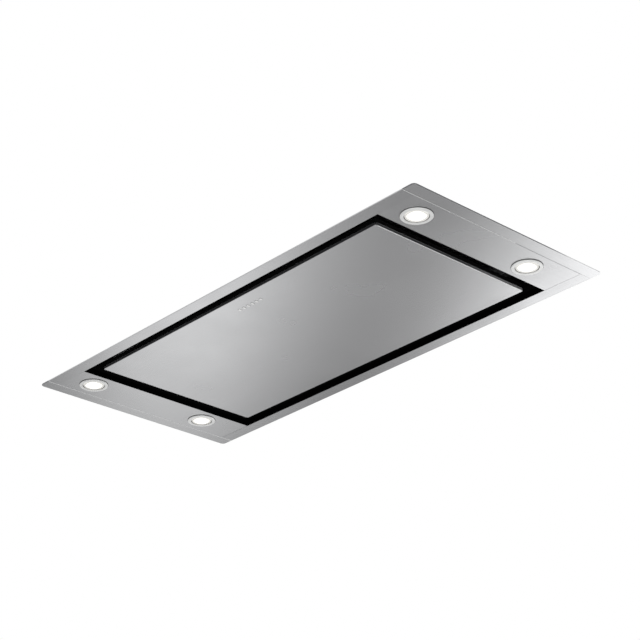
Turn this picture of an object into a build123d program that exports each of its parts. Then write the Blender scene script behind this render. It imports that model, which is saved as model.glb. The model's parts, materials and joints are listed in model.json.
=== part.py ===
from build123d import *
import math
import os

# A flush ceiling range hood with suction round the edge of its panel, in millimetres.
# +Z is up and X runs along the hood. The origin is the centre of the frame in the ceiling
# plane: the frame's outer rim touches the ceiling at z = 0, and what is seen from the room
# lies just below it. The near long side, with the keys, is at -Y and is called the front.

os.makedirs("parts", exist_ok=True)

# ---------------------------------------------------------------- driving dimensions

# Frame
frame_length = 1100.0
frame_depth = 500.0
frame_corner_r = 8.0
flange_depth = 1.8  # from the ceiling down to the visible underside
frame_sheet = 1.0
border_width = 28.0  # visible border from the outer edge to the inner lip
lip_height = 12.0  # the inner lip above the ceiling plane
corner_seam = 0.3  # butt joint between the end pieces and the rails
bracket_sheet = 1.5
corner_bracket_arm = 40.0

# Light plates and lights
light_plate_width = 88.5
plate_sheet = 1.0
plate_seam = 0.5
plate_fold = 12.0
light_from_slot = 41.5
light_from_front = 55.0  # from the frame's front inner edge
light_from_rear = 97.5
bezel_r = 30.0
bezel_drop = 2.4  # the bezel's thickness below the plate
bezel_bevel = 0.9
bezel_flange = 2.4  # how far the bezel reaches past its barrel
bezel_lip = 3.1  # from the barrel's wall to the bezel's window
barrel_wall = 1.3
barrel_height = 12.0
lens_gap = 1.0  # the groove round the lens
lens_drop = 1.4
lens_bevel = 0.9
lamp_seat = 2.0  # the heat sink's face above the underside
sink_height = 36.0
sink_core_r = 14.0
sink_fin = 2.0
sink_fin_pitch = 6.0
clip_width = 8.0
clip_sheet = 0.8
clip_reach = 16.0
clip_lip = 4.0
clip_tongue = 6.0  # the part that lies on the barrel

# Slot liner, filter tray and filters
liner_sheet = 1.0
tray_z = 60.0  # the tray's underside
tray_sheet = 1.0
filter_count = 3
filter_spacing = 8.0  # between the filters and at the liner's ends
filter_side_room = 31.0  # between the filters and the liner's long walls
filter_height = 12.0
filter_border = 12.0
filter_gap = 0.3
mesh_height = 8.0
tray_overlap = 14.0  # how far the tray covers each filter's border
rail_sheet = 1.0
rail_side_gap = 2.5
rail_flange = 12.0
rail_ledge = 9.0
front_rail_drop = 18.0
bolt_width = 16.0
bolt_height = 3.0
bolt_reach = 8.0  # how far the bolt stands out of the filter's front edge
bolt_back = 34.0
strap_depth = 8.0
strap_sheet = 1.5
latch_tab_width = 36.0
latch_tab_height = 12.0
latch_tab_sheet = 3.0
slide_gap = 0.3

# Housing
housing_inset = 20.0  # from the frame's outer edge
housing_height = 300.0
housing_sheet = 1.0

# Fan
fan_y = 56.0
fan_z = 172.0
fan_half_width = 62.0
fan_sheet = 1.0
cutoff_r = 88.0  # scroll radius at the tongue
scroll_growth = 24.0  # what the radius gains over three quarters of a turn
impeller_r = 80.0
impeller_inner_r = 66.0
impeller_half_width = 58.0
impeller_ring = 2.0
blade_count = 36
blade_length = 15.5
blade_sheet = 0.9
blade_angle = 32.0
hub_r = 12.0
hub_half_length = 10.0
inlet_hole_r = 62.0
inlet_r = 58.5
inlet_sheet = 1.2
inlet_flange_r = 74.0
inlet_depth = 6.0
motor_r = 44.0
motor_length = 56.0
motor_nose = 13.0  # from the impeller's disc to the motor
motor_edge_r = 4.0
motor_back = 4.0  # closed wall behind the shaft
boss_r = 14.0
boss_length = 1.5
shaft_r = 4.0
running_gap = 0.05
motor_arm_count = 3
motor_arm_width = 12.0
bracket_ring = 4.0
mount_height = 9.0
mount_r = 8.0
mount_spread = 70.0
foot_length = 27.0
foot_width = 100.0
gasket_height = 2.0
gasket_width = 5.0

# Outlet
collar_r = 75.0
collar_wall = 1.2
collar_height = 78.0  # above the cover
collar_flange = 180.0
collar_flange_r = 10.0
collar_flange_sheet = 1.2
flap_pin_r = 1.5
flap_barrel_r = 2.5
flap_barrel_end = 10.0  # from the flap's edge to the barrel's end
flap_offset = 4.0  # each flap's pin from the collar's axis
flap_lift = 8.0  # the pins above the cover
flap_sheet = 1.0
flap_side_gap = 1.3
flap_stop = 10.0

# Suspension, electrics
suspension_from_end = 80.0  # from the housing's walls to the hole
suspension_from_side = 50.0
suspension_hole_r = 4.5
suspension_rise = 30.0
suspension_sheet = 2.0
suspension_width = 40.0
suspension_foot = 26.0
box_from_end = 190.0  # from the housing's right wall to the box's middle
box_length = 160.0
box_depth = 120.0
box_height = 44.0
box_sheet = 1.0
lid_skirt = 8.0
gland_r = 11.0
gland_thread_r = 8.0
gland_bore_r = 5.0
gland_z = 20.0  # above the cover
gland_nut = 5.0
gland_nose = 18.0
gland_nose_r = 9.5
gland_edge_r = 2.0
terminal_count = 5
terminal_pitch = 10.0
terminal_depth = 25.0
terminal_height = 20.0
terminal_y = 10.0
screw_well_r = 2.5
screw_well = 8.0
capacitor_r = 16.0
capacitor_length = 70.0
capacitor_edge_r = 2.0
driver_width = 60.0
driver_clearance = 20.0  # to the lights' clips at both ends
driver_height = 27.0
driver_corner_r = 3.0

# Panel
panel_recess = 2.0  # its face above the frame's underside
end_slot = 31.5  # suction slot at the panel's ends
long_slot = 26.0  # and along its long sides
panel_corner_r = 3.0
skin_sheet = 1.0
rim_height = 6.3
rim_bend_r = 0.9  # the bend between the panel's face and its rim
panel_height = 15.3
backing_sheet = 0.8
pad_height = 6.0

# Keys
key_count = 6
key_pitch = 12.2
key_first_x = -10.0
key_from_edge = 36.5  # from the panel's front edge
key_width = 4.4
key_depth = 7.6
key_proud = 0.6
key_travel = 0.8
key_gap = 0.3
key_flange = 1.0
key_flange_height = 1.2
key_stem = 5.0  # above the skin's inner face
key_edge_r = 0.4
carrier_margin = 9.0
carrier_height = 10.0
board_sheet = 1.6
switch_side = 4.0
switch_height = 0.5
switch_gap = 0.1  # left between key and switch at full travel
carrier_wall = 1.5

# Hinges and magnets
hinge_from_end = 72.0  # from the panel's ends
hinge_from_edge = 6.0  # from the panel's rear edge
hinge_rise = 21.8  # the pins above the panel's face
hinge_pin_r = 3.0
hinge_ear_r = 5.5
arm_ear = 4.0
bracket_ear = 2.5
ear_gap = 0.4
pin_head_r = 4.5
pin_head = 1.5
arm_base_width = 50.0
arm_base_front = 50.0  # from the pin's axis to the base plate's front edge
arm_base_rear = 6.0
arm_base_sheet = 2.0
hinge_base_width = 50.0
hinge_base_sheet = 2.5
hinge_base_z = 32.0
hinge_base_height = 13.0
catch_x = 150.0
catch_from_edge = 19.0  # from the panel's front edge
magnet_width = 24.0
magnet_depth = 20.0
magnet_height = 8.0
magnet_rise = 23.8  # the magnets' faces above the panel's face
catch_width = 30.0
catch_sheet = 1.5
strike_sheet = 1.5
strike_gap = 0.3

# ---------------------------------------------------------------- places worked out

underside = -flange_depth
plate_top = underside + frame_sheet
opening_x = frame_length / 2 - border_width
opening_y = frame_depth / 2 - border_width
lip_x = opening_x + frame_sheet
lip_y = opening_y + frame_sheet
slot_x = opening_x - light_plate_width
plate_end_x = opening_x - plate_seam
plate_end_y = opening_y - plate_seam
light_plate_top = underside + plate_sheet
lamp_z = underside + lamp_seat
light_x = slot_x + light_from_slot
light_front_y = -opening_y + light_from_front
light_rear_y = opening_y - light_from_rear
light_places = [(side * light_x, y) for side in (-1, 1) for y in (light_front_y, light_rear_y)]
barrel_r = bezel_r - bezel_flange
barrel_inner_r = barrel_r - barrel_wall
bezel_window_r = barrel_inner_r - bezel_lip
lens_r = bezel_window_r - lens_gap

liner_x = slot_x + plate_sheet
liner_y = lip_y
filter_pitch = (2 * liner_x - filter_spacing) / filter_count
filter_length = filter_pitch - filter_spacing
filter_depth = 2 * (liner_y - filter_side_room)
filter_top = tray_z
filter_z = filter_top - filter_height
filter_places = [(i - (filter_count - 1) / 2) * filter_pitch for i in range(filter_count)]
rail_y = filter_depth / 2 + rail_side_gap
bolt_top = filter_z - slide_gap
bolt_z = bolt_top - bolt_height

wall_x = frame_length / 2 - housing_inset
wall_y = frame_depth / 2 - housing_inset
suspension_x = wall_x - suspension_from_end
suspension_y = wall_y - suspension_from_side
cover_z = housing_height - housing_sheet

scroll_end_r = cutoff_r + scroll_growth
outlet_front = fan_y - scroll_end_r
fan_top = cover_z - gasket_height
foot_z = cover_z - mount_height
motor_end = -motor_nose - motor_length

collar_top = housing_height + collar_height
collar_inner_r = collar_r - collar_wall
flap_z = housing_height + flap_lift

panel_length = 2 * (slot_x - end_slot)
panel_depth = 2 * (opening_y - long_slot)
key_y = -panel_depth / 2 + key_from_edge
hinge_x = panel_length / 2 - hinge_from_end
hinge_y = panel_depth / 2 - hinge_from_edge
catch_y = -panel_depth / 2 + catch_from_edge
panel_face = underside + panel_recess
skin_top = panel_face + skin_sheet
backing_top = panel_face + panel_height
backing_floor = backing_top - backing_sheet
hinge_z = panel_face + hinge_rise
magnet_z = panel_face + magnet_rise
pin_reach = arm_ear / 2 + ear_gap + bracket_ear
key_places = [key_first_x + i * key_pitch for i in range(key_count)]


def span(low, high):
    """The two limits in order, so that a mirrored piece can be written once."""
    return (min(low, high), max(low, high))


def block(x, y, z, mode=Mode.ADD):
    """A box between its limits along X, Y and Z."""
    with Locations((sum(x) / 2, sum(y) / 2, sum(z) / 2)):
        Box(x[1] - x[0], y[1] - y[0], z[1] - z[0], mode=mode)


def rod(radius, start, end, mode=Mode.ADD):
    """A cylinder from one point of its axis to another."""
    axis = Vector(*end) - Vector(*start)
    with Locations(Plane(origin=start, z_dir=axis)):
        Cylinder(radius, axis.length, align=(Align.CENTER, Align.CENTER, Align.MIN), mode=mode)


def save(piece, name):
    """Label a finished piece and write it under its name."""
    piece.part.label = name
    export_step(piece.part, f"parts/{name}.step")


# ---------------------------------------------------------------- frame


def flange(x, y):
    """One stretch of the frame's flat border, with the raised outer rim on its edge."""
    with BuildSketch(Plane.XY.offset(underside)) as border:
        RectangleRounded(frame_length, frame_depth, frame_corner_r)
        with Locations((sum(x) / 2, sum(y) / 2)):
            Rectangle(x[1] - x[0], y[1] - y[0], mode=Mode.INTERSECT)
    extrude(border.sketch, amount=flange_depth)
    with BuildSketch(Plane.XY.offset(plate_top)) as within_rim:
        RectangleRounded(
            frame_length - 2 * frame_sheet,
            frame_depth - 2 * frame_sheet,
            frame_corner_r - frame_sheet,
        )
    extrude(within_rim.sketch, amount=flange_depth, mode=Mode.SUBTRACT)


for name, side in (("frame_end_left", -1), ("frame_end_right", 1)):
    with BuildPart() as frame_end:
        flange(span(side * opening_x, side * frame_length / 2), (-frame_depth / 2, frame_depth / 2))
        lip_end = opening_y - corner_seam
        block(span(side * opening_x, side * lip_x), (-lip_end, lip_end), (underside, lip_height))
    save(frame_end, name)

for name, side in (("frame_rail_front", -1), ("frame_rail_rear", 1)):
    with BuildPart() as frame_rail:
        rail_end = opening_x - corner_seam
        flange((-rail_end, rail_end), span(side * opening_y, side * frame_depth / 2))
        block((-rail_end, rail_end), span(side * opening_y, side * lip_y), (underside, lip_height))
    save(frame_rail, name)

# Angle brackets behind the four corners hold an end piece and a rail together.
with BuildPart() as corner_brackets:
    bracket_z = (plate_top, lip_height - bracket_sheet)
    for side_x in (-1, 1):
        for side_y in (-1, 1):
            outer_x = side_x * (lip_x + bracket_sheet)
            outer_y = side_y * (lip_y + bracket_sheet)
            back_x = outer_x - side_x * corner_bracket_arm
            back_y = outer_y - side_y * corner_bracket_arm
            block(span(side_x * lip_x, outer_x), span(back_y, outer_y), bracket_z)
            block(span(back_x, outer_x), span(side_y * lip_y, outer_y), bracket_z)
save(corner_brackets, "frame_corner_brackets")

# ---------------------------------------------------------------- light plates and lights

for name, side in (("light_plate_left", -1), ("light_plate_right", 1)):
    with BuildPart() as light_plate:
        fold_top = underside + plate_fold
        plate_x = span(side * slot_x, side * plate_end_x)
        block(plate_x, (-plate_end_y, plate_end_y), (underside, fold_top))
        inner_y = plate_end_y - plate_sheet
        block(
            span(side * (slot_x + plate_sheet), side * (plate_end_x - plate_sheet)),
            (-inner_y, inner_y),
            (light_plate_top, fold_top),
            mode=Mode.SUBTRACT,
        )
        # The side folds stop short of the slot liner's end wall.
        block(
            span(side * liner_x, side * (liner_x + liner_sheet + slide_gap)),
            (-plate_end_y, plate_end_y),
            (light_plate_top, fold_top),
            mode=Mode.SUBTRACT,
        )
        for y in (light_front_y, light_rear_y):
            rod(
                barrel_r + slide_gap,
                (side * light_x, y, underside),
                (side * light_x, y, light_plate_top),
                mode=Mode.SUBTRACT,
            )
    save(light_plate, name)


def turned(places, profile):
    """A turned piece at each place: the profile's points are (radius, height)."""
    for x, y in places:
        with BuildSketch(Plane(origin=(x, y, 0), x_dir=(1, 0, 0), z_dir=(0, -1, 0))) as half:
            Polygon(*profile)
        revolve(half.sketch, axis=Axis((x, y, 0), (0, 0, 1)))


# The bezel clamps on the plate from below and its barrel passes through the plate's hole.
bezel_profile = [
    (bezel_window_r, lamp_z),
    (bezel_window_r, underside - bezel_drop),
    (bezel_r - bezel_bevel, underside - bezel_drop),
    (bezel_r, underside - bezel_drop + bezel_bevel),
    (bezel_r, underside),
    (barrel_r, underside),
    (barrel_r, underside + barrel_height),
    (barrel_inner_r, underside + barrel_height),
    (barrel_inner_r, lamp_z),
]
with BuildPart() as bezels:
    turned(light_places, bezel_profile)
save(bezels, "light_bezels")

with BuildPart() as lenses:
    lens_z = underside - lens_drop
    lens_shoulder = (lens_r, lens_z + lens_bevel)
    lens_face = [(0, lens_z), (lens_r - lens_bevel, lens_z), lens_shoulder]
    turned(light_places, lens_face + [(lens_r, lamp_z), (0, lamp_z)])
save(lenses, "light_lenses")

# A heat sink is a core with round fins; its lowest fin carries the lamp.
with BuildPart() as heat_sinks:
    fin_r = barrel_inner_r - slide_gap
    for x, y in light_places:
        rod(sink_core_r, (x, y, lamp_z), (x, y, lamp_z + sink_height))
        for fin in range(int(sink_height / sink_fin_pitch)):
            fin_z = lamp_z + fin * sink_fin_pitch
            rod(fin_r, (x, y, fin_z), (x, y, fin_z + sink_fin))
save(heat_sinks, "light_heat_sinks")

# Two leaf springs a light press on the plate from above.
with BuildPart() as clips:
    clip_top = underside + barrel_height - clip_sheet
    for x, y in light_places:
        for side in (-1, 1):
            foot_y = y + side * (barrel_r + clip_reach)
            root_y = y + side * barrel_r
            tip_y = foot_y + side * clip_lip
            tip_z = light_plate_top + clip_lip / 2
            with BuildSketch(Plane.YZ.offset(x - clip_width / 2)):
                Polygon(
                    (root_y, clip_top - clip_tongue),
                    (root_y, clip_top),
                    (root_y + side * clip_sheet, clip_top),
                    (foot_y, light_plate_top + clip_sheet),
                    (tip_y, tip_z + clip_sheet),
                    (tip_y, tip_z),
                    (foot_y, light_plate_top),
                    (root_y + side * clip_sheet, clip_top - 2 * clip_sheet),
                    (root_y + side * clip_sheet, clip_top - clip_tongue),
                )
            extrude(amount=clip_width)
save(clips, "light_spring_clips")

# The driver stands on the right light plate between its two lights.
with BuildPart() as driver:
    driver_y = (light_front_y + light_rear_y) / 2
    light_half = barrel_r + clip_reach + clip_lip
    driver_depth = light_rear_y - light_front_y - 2 * (light_half + driver_clearance)
    block(
        (light_x - driver_width / 2, light_x + driver_width / 2),
        (driver_y - driver_depth / 2, driver_y + driver_depth / 2),
        (light_plate_top, light_plate_top + driver_height),
    )
    fillet(driver.edges().filter_by(Axis.Z), radius=driver_corner_r)
save(driver, "led_driver")

# ---------------------------------------------------------------- slot liner and filters

with BuildPart() as liner:
    outer_x = liner_x + liner_sheet
    outer_y = liner_y + liner_sheet
    block((-outer_x, outer_x), (-outer_y, outer_y), (plate_top, tray_z))
    block((-liner_x, liner_x), (-liner_y, liner_y), (plate_top, tray_z), mode=Mode.SUBTRACT)
    # Its end walls are notched round the lips of the frame's rails.
    for side in (-1, 1):
        notch_y = span(side * (opening_y - slide_gap), side * liner_y)
        block((-outer_x, outer_x), notch_y, (plate_top, lip_height + slide_gap), mode=Mode.SUBTRACT)
save(liner, "slot_liner")

inner_wall_x = wall_x - housing_sheet
inner_wall_y = wall_y - housing_sheet
with BuildPart() as tray:
    tray_span = (tray_z, tray_z + tray_sheet)
    block((-inner_wall_x, inner_wall_x), (-inner_wall_y, inner_wall_y), tray_span)
    hole_x = filter_length / 2 - tray_overlap
    hole_y = filter_depth / 2 - tray_overlap
    for x in filter_places:
        block((x - hole_x, x + hole_x), (-hole_y, hole_y), tray_span, mode=Mode.SUBTRACT)
save(tray, "filter_tray")

# The rear rail has a ledge that the filters rest on; the latch bolts pass through the front one.
with BuildPart() as rails:
    ledge_top = filter_z - filter_gap
    block((-liner_x, liner_x), (rail_y, rail_y + rail_sheet), (ledge_top - rail_sheet, tray_z))
    block((-liner_x, liner_x), (rail_y, rail_y + rail_flange), (tray_z - rail_sheet, tray_z))
    block((-liner_x, liner_x), (rail_y - rail_ledge, rail_y), (ledge_top - rail_sheet, ledge_top))
    block((-liner_x, liner_x), (-rail_y - rail_sheet, -rail_y), (tray_z - front_rail_drop, tray_z))
    block((-liner_x, liner_x), (-rail_y - rail_flange, -rail_y), (tray_z - rail_sheet, tray_z))
    slot_half = bolt_width / 2 + slide_gap
    for x in filter_places:
        block(
            (x - slot_half, x + slot_half),
            (-rail_y - rail_sheet, -rail_y),
            (bolt_z - slide_gap, bolt_top + slide_gap),
            mode=Mode.SUBTRACT,
        )
save(rails, "filter_rails")

for number, x in enumerate(filter_places, start=1):
    edge_x = (x - filter_length / 2, x + filter_length / 2)
    mesh_x = (edge_x[0] + filter_border, edge_x[1] - filter_border)
    mesh_y = filter_depth / 2 - filter_border
    front = -filter_depth / 2
    with BuildPart() as filter_frame:
        block(edge_x, (front, -front), (filter_z, filter_top))
        block(mesh_x, (-mesh_y, mesh_y), (filter_z, filter_top), mode=Mode.SUBTRACT)
        # A strap under the front edge guides the latch bolt.
        strap_half = bolt_width / 2 + slide_gap + strap_sheet
        strap_y = (front + strap_sheet, front + strap_sheet + strap_depth)
        strap_floor = bolt_z - slide_gap
        block((x - strap_half, x + strap_half), strap_y, (strap_floor - strap_sheet, filter_z))
        block((x - slot_half, x + slot_half), strap_y, (strap_floor, filter_z), mode=Mode.SUBTRACT)
    save(filter_frame, f"filter_frame_{number}")

    with BuildPart() as filter_mesh:
        mesh_z = filter_z + (filter_height - mesh_height) / 2
        block(mesh_x, (-mesh_y, mesh_y), (mesh_z, mesh_z + mesh_height))
    save(filter_mesh, f"filter_mesh_{number}")

    with BuildPart() as latch:
        bolt_y = (front - bolt_reach, front + bolt_back)
        block((x - bolt_width / 2, x + bolt_width / 2), bolt_y, (bolt_z, bolt_top))
        tab_y = (front + bolt_back - latch_tab_sheet, front + bolt_back)
        half_tab = latch_tab_width / 2
        block((x - half_tab, x + half_tab), tab_y, (bolt_z - latch_tab_height, bolt_top))
    save(latch, f"filter_latch_{number}")

# ---------------------------------------------------------------- housing

with BuildPart() as walls:
    wall_span = (plate_top, cover_z)
    block((-wall_x, wall_x), (-wall_y, wall_y), wall_span)
    block((-inner_wall_x, inner_wall_x), (-inner_wall_y, inner_wall_y), wall_span, mode=Mode.SUBTRACT)
save(walls, "housing_walls")

with BuildPart() as cover:
    cover_span = (cover_z, housing_height)
    block((-wall_x, wall_x), (-wall_y, wall_y), cover_span)
    block((-fan_half_width, fan_half_width), (outlet_front, fan_y), cover_span, mode=Mode.SUBTRACT)
save(cover, "housing_cover")

with BuildPart() as hangers:
    for side_x in (-1, 1):
        for side_y in (-1, 1):
            middle = side_x * suspension_x
            x = (middle - suspension_width / 2, middle + suspension_width / 2)
            riser = side_y * (suspension_y - suspension_foot / 2)
            riser_back = riser + side_y * suspension_sheet
            foot = riser - side_y * suspension_foot
            plate = riser + side_y * suspension_foot
            low = housing_height
            high = housing_height + suspension_rise
            block(x, span(foot, riser), (low, low + suspension_sheet))
            block(x, span(riser, riser_back), (low, high))
            block(x, span(riser, plate), (high - suspension_sheet, high))
            hole = (side_x * suspension_x, side_y * suspension_y)
            rod(suspension_hole_r, (*hole, high - suspension_sheet), (*hole, high), mode=Mode.SUBTRACT)
save(hangers, "suspension_brackets")

# ---------------------------------------------------------------- fan


def scroll_point(radius, turn):
    """A point of the scroll: turn is in degrees from the tongue, over the rear and down."""
    angle = math.radians(90 - turn)
    grown = radius + scroll_growth * turn / 270
    return (fan_y + grown * math.cos(angle), fan_z + grown * math.sin(angle))


def scroll_arcs(radius, first_turn):
    """The scroll's spiral as arcs, from the tongue round to the front of the outlet."""
    stops = [first_turn, 90, 180, 270]
    for low, high in zip(stops, stops[1:]):
        ThreePointArc(
            scroll_point(radius, low),
            scroll_point(radius, (low + high) / 2),
            scroll_point(radius, high),
        )


outer_scroll_r = cutoff_r + fan_sheet
# The spiral's outside meets the tongue wall's back face a little past the tongue.
tongue_turn = math.degrees(math.asin(fan_sheet / outer_scroll_r))
tongue_back = scroll_point(outer_scroll_r, tongue_turn)
spiral_end = scroll_point(outer_scroll_r, 270)

with BuildPart() as scroll:
    with BuildSketch(Plane.YZ.offset(-fan_half_width)):
        with BuildLine():
            scroll_arcs(outer_scroll_r, tongue_turn)
            Polyline(spiral_end, (spiral_end[0], fan_top), (outlet_front, fan_top), (outlet_front, fan_z))
            scroll_arcs(cutoff_r, 0)
            Polyline(scroll_point(cutoff_r, 0), (fan_y, fan_top), (tongue_back[0], fan_top), tongue_back)
        make_face()
    extrude(amount=2 * fan_half_width)
save(scroll, "fan_scroll")

for name, side in (("fan_side_left", -1), ("fan_side_right", 1)):
    inner = side * fan_half_width
    outer = side * (fan_half_width + fan_sheet)
    with BuildPart() as fan_side:
        with BuildSketch(Plane.YZ.offset(min(inner, outer))):
            with BuildLine():
                scroll_arcs(outer_scroll_r, tongue_turn)
                Polyline(spiral_end, (spiral_end[0], fan_top), (tongue_back[0], fan_top), tongue_back)
            make_face()
            with Locations((fan_y, fan_z)):
                Circle(inlet_hole_r, mode=Mode.SUBTRACT)
        extrude(amount=fan_sheet)
        # A foot is folded out along the top for the rubber mounts.
        foot_y = (outlet_front + fan_y - foot_width) / 2
        foot_x = span(inner, side * (fan_half_width + foot_length))
        block(foot_x, (foot_y, foot_y + foot_width), (foot_z - fan_sheet, foot_z))
    save(fan_side, name)

# Each inlet ring lies on its side plate and reaches into the impeller's eye.
with BuildPart() as inlet_rings:
    for side in (-1, 1):
        face = side * (fan_half_width + fan_sheet)
        rim = face + side * inlet_sheet
        tip = face - side * (inlet_depth + fan_sheet)
        rod(inlet_flange_r, (face, fan_y, fan_z), (rim, fan_y, fan_z))
        rod(inlet_r + inlet_sheet, (face, fan_y, fan_z), (tip, fan_y, fan_z))
        rod(inlet_r, (tip, fan_y, fan_z), (rim, fan_y, fan_z), mode=Mode.SUBTRACT)
save(inlet_rings, "fan_inlet_rings")

with BuildPart() as motor:
    rod(motor_r, (motor_end, fan_y, fan_z), (-motor_nose, fan_y, fan_z))
    fillet(motor.edges().filter_by(GeomType.CIRCLE), radius=motor_edge_r)
    rod(boss_r, (-motor_nose, fan_y, fan_z), (boss_length - motor_nose, fan_y, fan_z))
    rod(
        shaft_r + running_gap,
        (motor_end + motor_back, fan_y, fan_z),
        (boss_length - motor_nose, fan_y, fan_z),
        mode=Mode.SUBTRACT,
    )
save(motor, "fan_motor")

# The motor hangs by its rear end in a ring whose arms reach the left inlet ring.
with BuildPart() as motor_bracket:
    bracket_face = -(fan_half_width + fan_sheet + inlet_sheet)
    bracket_back = bracket_face - bracket_sheet
    with BuildSketch(Plane.YZ.offset(bracket_back)):
        with Locations((fan_y, fan_z)):
            Circle(motor_r + bracket_ring)
            for arm in range(motor_arm_count):
                angle = 90 + 360 / motor_arm_count * arm
                turned_arm = Location((0, 0), angle)
                with Locations(turned_arm):
                    Rectangle(inlet_flange_r, motor_arm_width, align=(Align.MIN, Align.CENTER))
            Circle(motor_r, mode=Mode.SUBTRACT)
    extrude(amount=bracket_sheet)
save(motor_bracket, "motor_bracket")

with BuildPart() as impeller:
    blade_mid_r = (impeller_r + impeller_inner_r) / 2
    with BuildSketch(Plane.YZ.offset(-impeller_half_width)):
        with Locations((fan_y, fan_z)):
            with PolarLocations(blade_mid_r, blade_count):
                Rectangle(blade_length, blade_sheet, rotation=blade_angle)
    extrude(amount=2 * impeller_half_width)
    for ring_x in (-impeller_half_width, impeller_half_width - impeller_ring):
        with BuildSketch(Plane.YZ.offset(ring_x)):
            with Locations((fan_y, fan_z)):
                Circle(impeller_r)
                Circle(impeller_inner_r, mode=Mode.SUBTRACT)
        extrude(amount=impeller_ring)
    rod(impeller_r, (-impeller_ring / 2, fan_y, fan_z), (impeller_ring / 2, fan_y, fan_z))
    rod(hub_r, (-hub_half_length, fan_y, fan_z), (hub_half_length, fan_y, fan_z))
    rod(shaft_r, (-hub_half_length, fan_y, fan_z), (hub_half_length, fan_y, fan_z), mode=Mode.SUBTRACT)
save(impeller, "impeller")

with BuildPart() as shaft:
    shaft_end = motor_end + motor_back + shaft_r / 2
    rod(shaft_r, (shaft_end, fan_y, fan_z), (hub_half_length, fan_y, fan_z))
save(shaft, "motor_shaft")

# Four rubber mounts carry the fan's feet, and a gasket seals its outlet to the cover.
with BuildPart() as rubber:
    for side_x in (-1, 1):
        for side_y in (-1, 1):
            x = side_x * (fan_half_width + fan_sheet + foot_length / 2)
            y = (outlet_front + fan_y) / 2 + side_y * mount_spread / 2
            rod(mount_r, (x, y, foot_z), (x, y, cover_z))
    back_y = fan_y + gasket_width
    front_y = outlet_front - gasket_width
    side_x = fan_half_width + gasket_width
    block((-side_x, side_x), (front_y, back_y), (fan_top, cover_z))
    block((-fan_half_width, fan_half_width), (outlet_front, fan_y), (fan_top, cover_z), mode=Mode.SUBTRACT)
save(rubber, "fan_rubber_mounts")

# ---------------------------------------------------------------- outlet

with BuildPart() as collar:
    with BuildSketch(Plane.XY.offset(housing_height)):
        RectangleRounded(collar_flange, collar_flange, collar_flange_r)
    extrude(amount=collar_flange_sheet)
    rod(collar_r, (0, 0, housing_height), (0, 0, collar_top))
    rod(collar_inner_r, (0, 0, housing_height), (0, 0, collar_top), mode=Mode.SUBTRACT)
    for side in (-1, 1):
        # Each flap rests on a stop, and its pin turns in two holes of the wall.
        stop_z = flap_z - flap_sheet / 2 - slide_gap
        stop_y = span(side * (collar_inner_r - flap_stop), side * (collar_inner_r + collar_wall / 2))
        block((-flap_stop / 2, flap_stop / 2), stop_y, (stop_z - flap_sheet, stop_z))
        rod(
            flap_pin_r + running_gap,
            (-collar_r, side * flap_offset, flap_z),
            (collar_r, side * flap_offset, flap_z),
            mode=Mode.SUBTRACT,
        )
save(collar, "outlet_collar")

for name, side in (("damper_flap_front", -1), ("damper_flap_rear", 1)):
    with BuildPart() as flap:
        flap_r = collar_inner_r - flap_side_gap
        with BuildSketch(Plane.XY.offset(flap_z - flap_sheet / 2)):
            Circle(flap_r)
            with Locations((0, side * (flap_offset + flap_r / 2))):
                Rectangle(2 * flap_r, flap_r, mode=Mode.INTERSECT)
        extrude(amount=flap_sheet)
        pin_y = side * flap_offset
        # The pins end just inside the wall, clear of a duct pushed over the collar.
        pin_x = math.sqrt(collar_r**2 - (flap_offset + flap_pin_r) ** 2) - running_gap
        barrel_x = flap_r - flap_barrel_end
        rod(flap_pin_r, (-pin_x, pin_y, flap_z), (pin_x, pin_y, flap_z))
        rod(flap_barrel_r, (-barrel_x, pin_y, flap_z), (barrel_x, pin_y, flap_z))
    save(flap, name)

# ---------------------------------------------------------------- electrics

box_x = wall_x - box_from_end
box_left = box_x - box_length / 2
box_right = box_x + box_length / 2
box_top = housing_height + box_height
gland_height = housing_height + gland_z
box_floor = housing_height + box_sheet

with BuildPart() as electrics_box:
    block((box_left, box_right), (-box_depth / 2, box_depth / 2), (housing_height, box_top))
    block(
        (box_left + box_sheet, box_right - box_sheet),
        (box_sheet - box_depth / 2, box_depth / 2 - box_sheet),
        (box_floor, box_top),
        mode=Mode.SUBTRACT,
    )
    wall_inside = (box_right - box_sheet, 0, gland_height)
    rod(gland_thread_r, wall_inside, (box_right, 0, gland_height), mode=Mode.SUBTRACT)
save(electrics_box, "electrics_box")

with BuildPart() as lid:
    skirt_y = box_depth / 2 + box_sheet
    skirt_x = (box_left - box_sheet, box_right + box_sheet)
    block(skirt_x, (-skirt_y, skirt_y), (box_top - lid_skirt, box_top + box_sheet))
    block(
        (box_left, box_right),
        (-box_depth / 2, box_depth / 2),
        (box_top - lid_skirt, box_top),
        mode=Mode.SUBTRACT,
    )
save(lid, "electrics_lid")

with BuildPart() as gland:
    nut_x = box_right - box_sheet - gland_nut
    collar_x = box_right + gland_nut
    nose_x = box_right + gland_nose
    rod(gland_r, (nut_x, 0, gland_height), (box_right - box_sheet, 0, gland_height))
    rod(gland_thread_r, (nut_x, 0, gland_height), (box_right, 0, gland_height))
    rod(gland_r, (box_right, 0, gland_height), (collar_x, 0, gland_height))
    rod(gland_nose_r, (collar_x, 0, gland_height), (nose_x, 0, gland_height))
    fillet(gland.edges().filter_by(GeomType.CIRCLE).sort_by(Axis.X)[-1], radius=gland_edge_r)
    rod(gland_bore_r, (nut_x, 0, gland_height), (nose_x, 0, gland_height), mode=Mode.SUBTRACT)
save(gland, "cable_gland")

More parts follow.
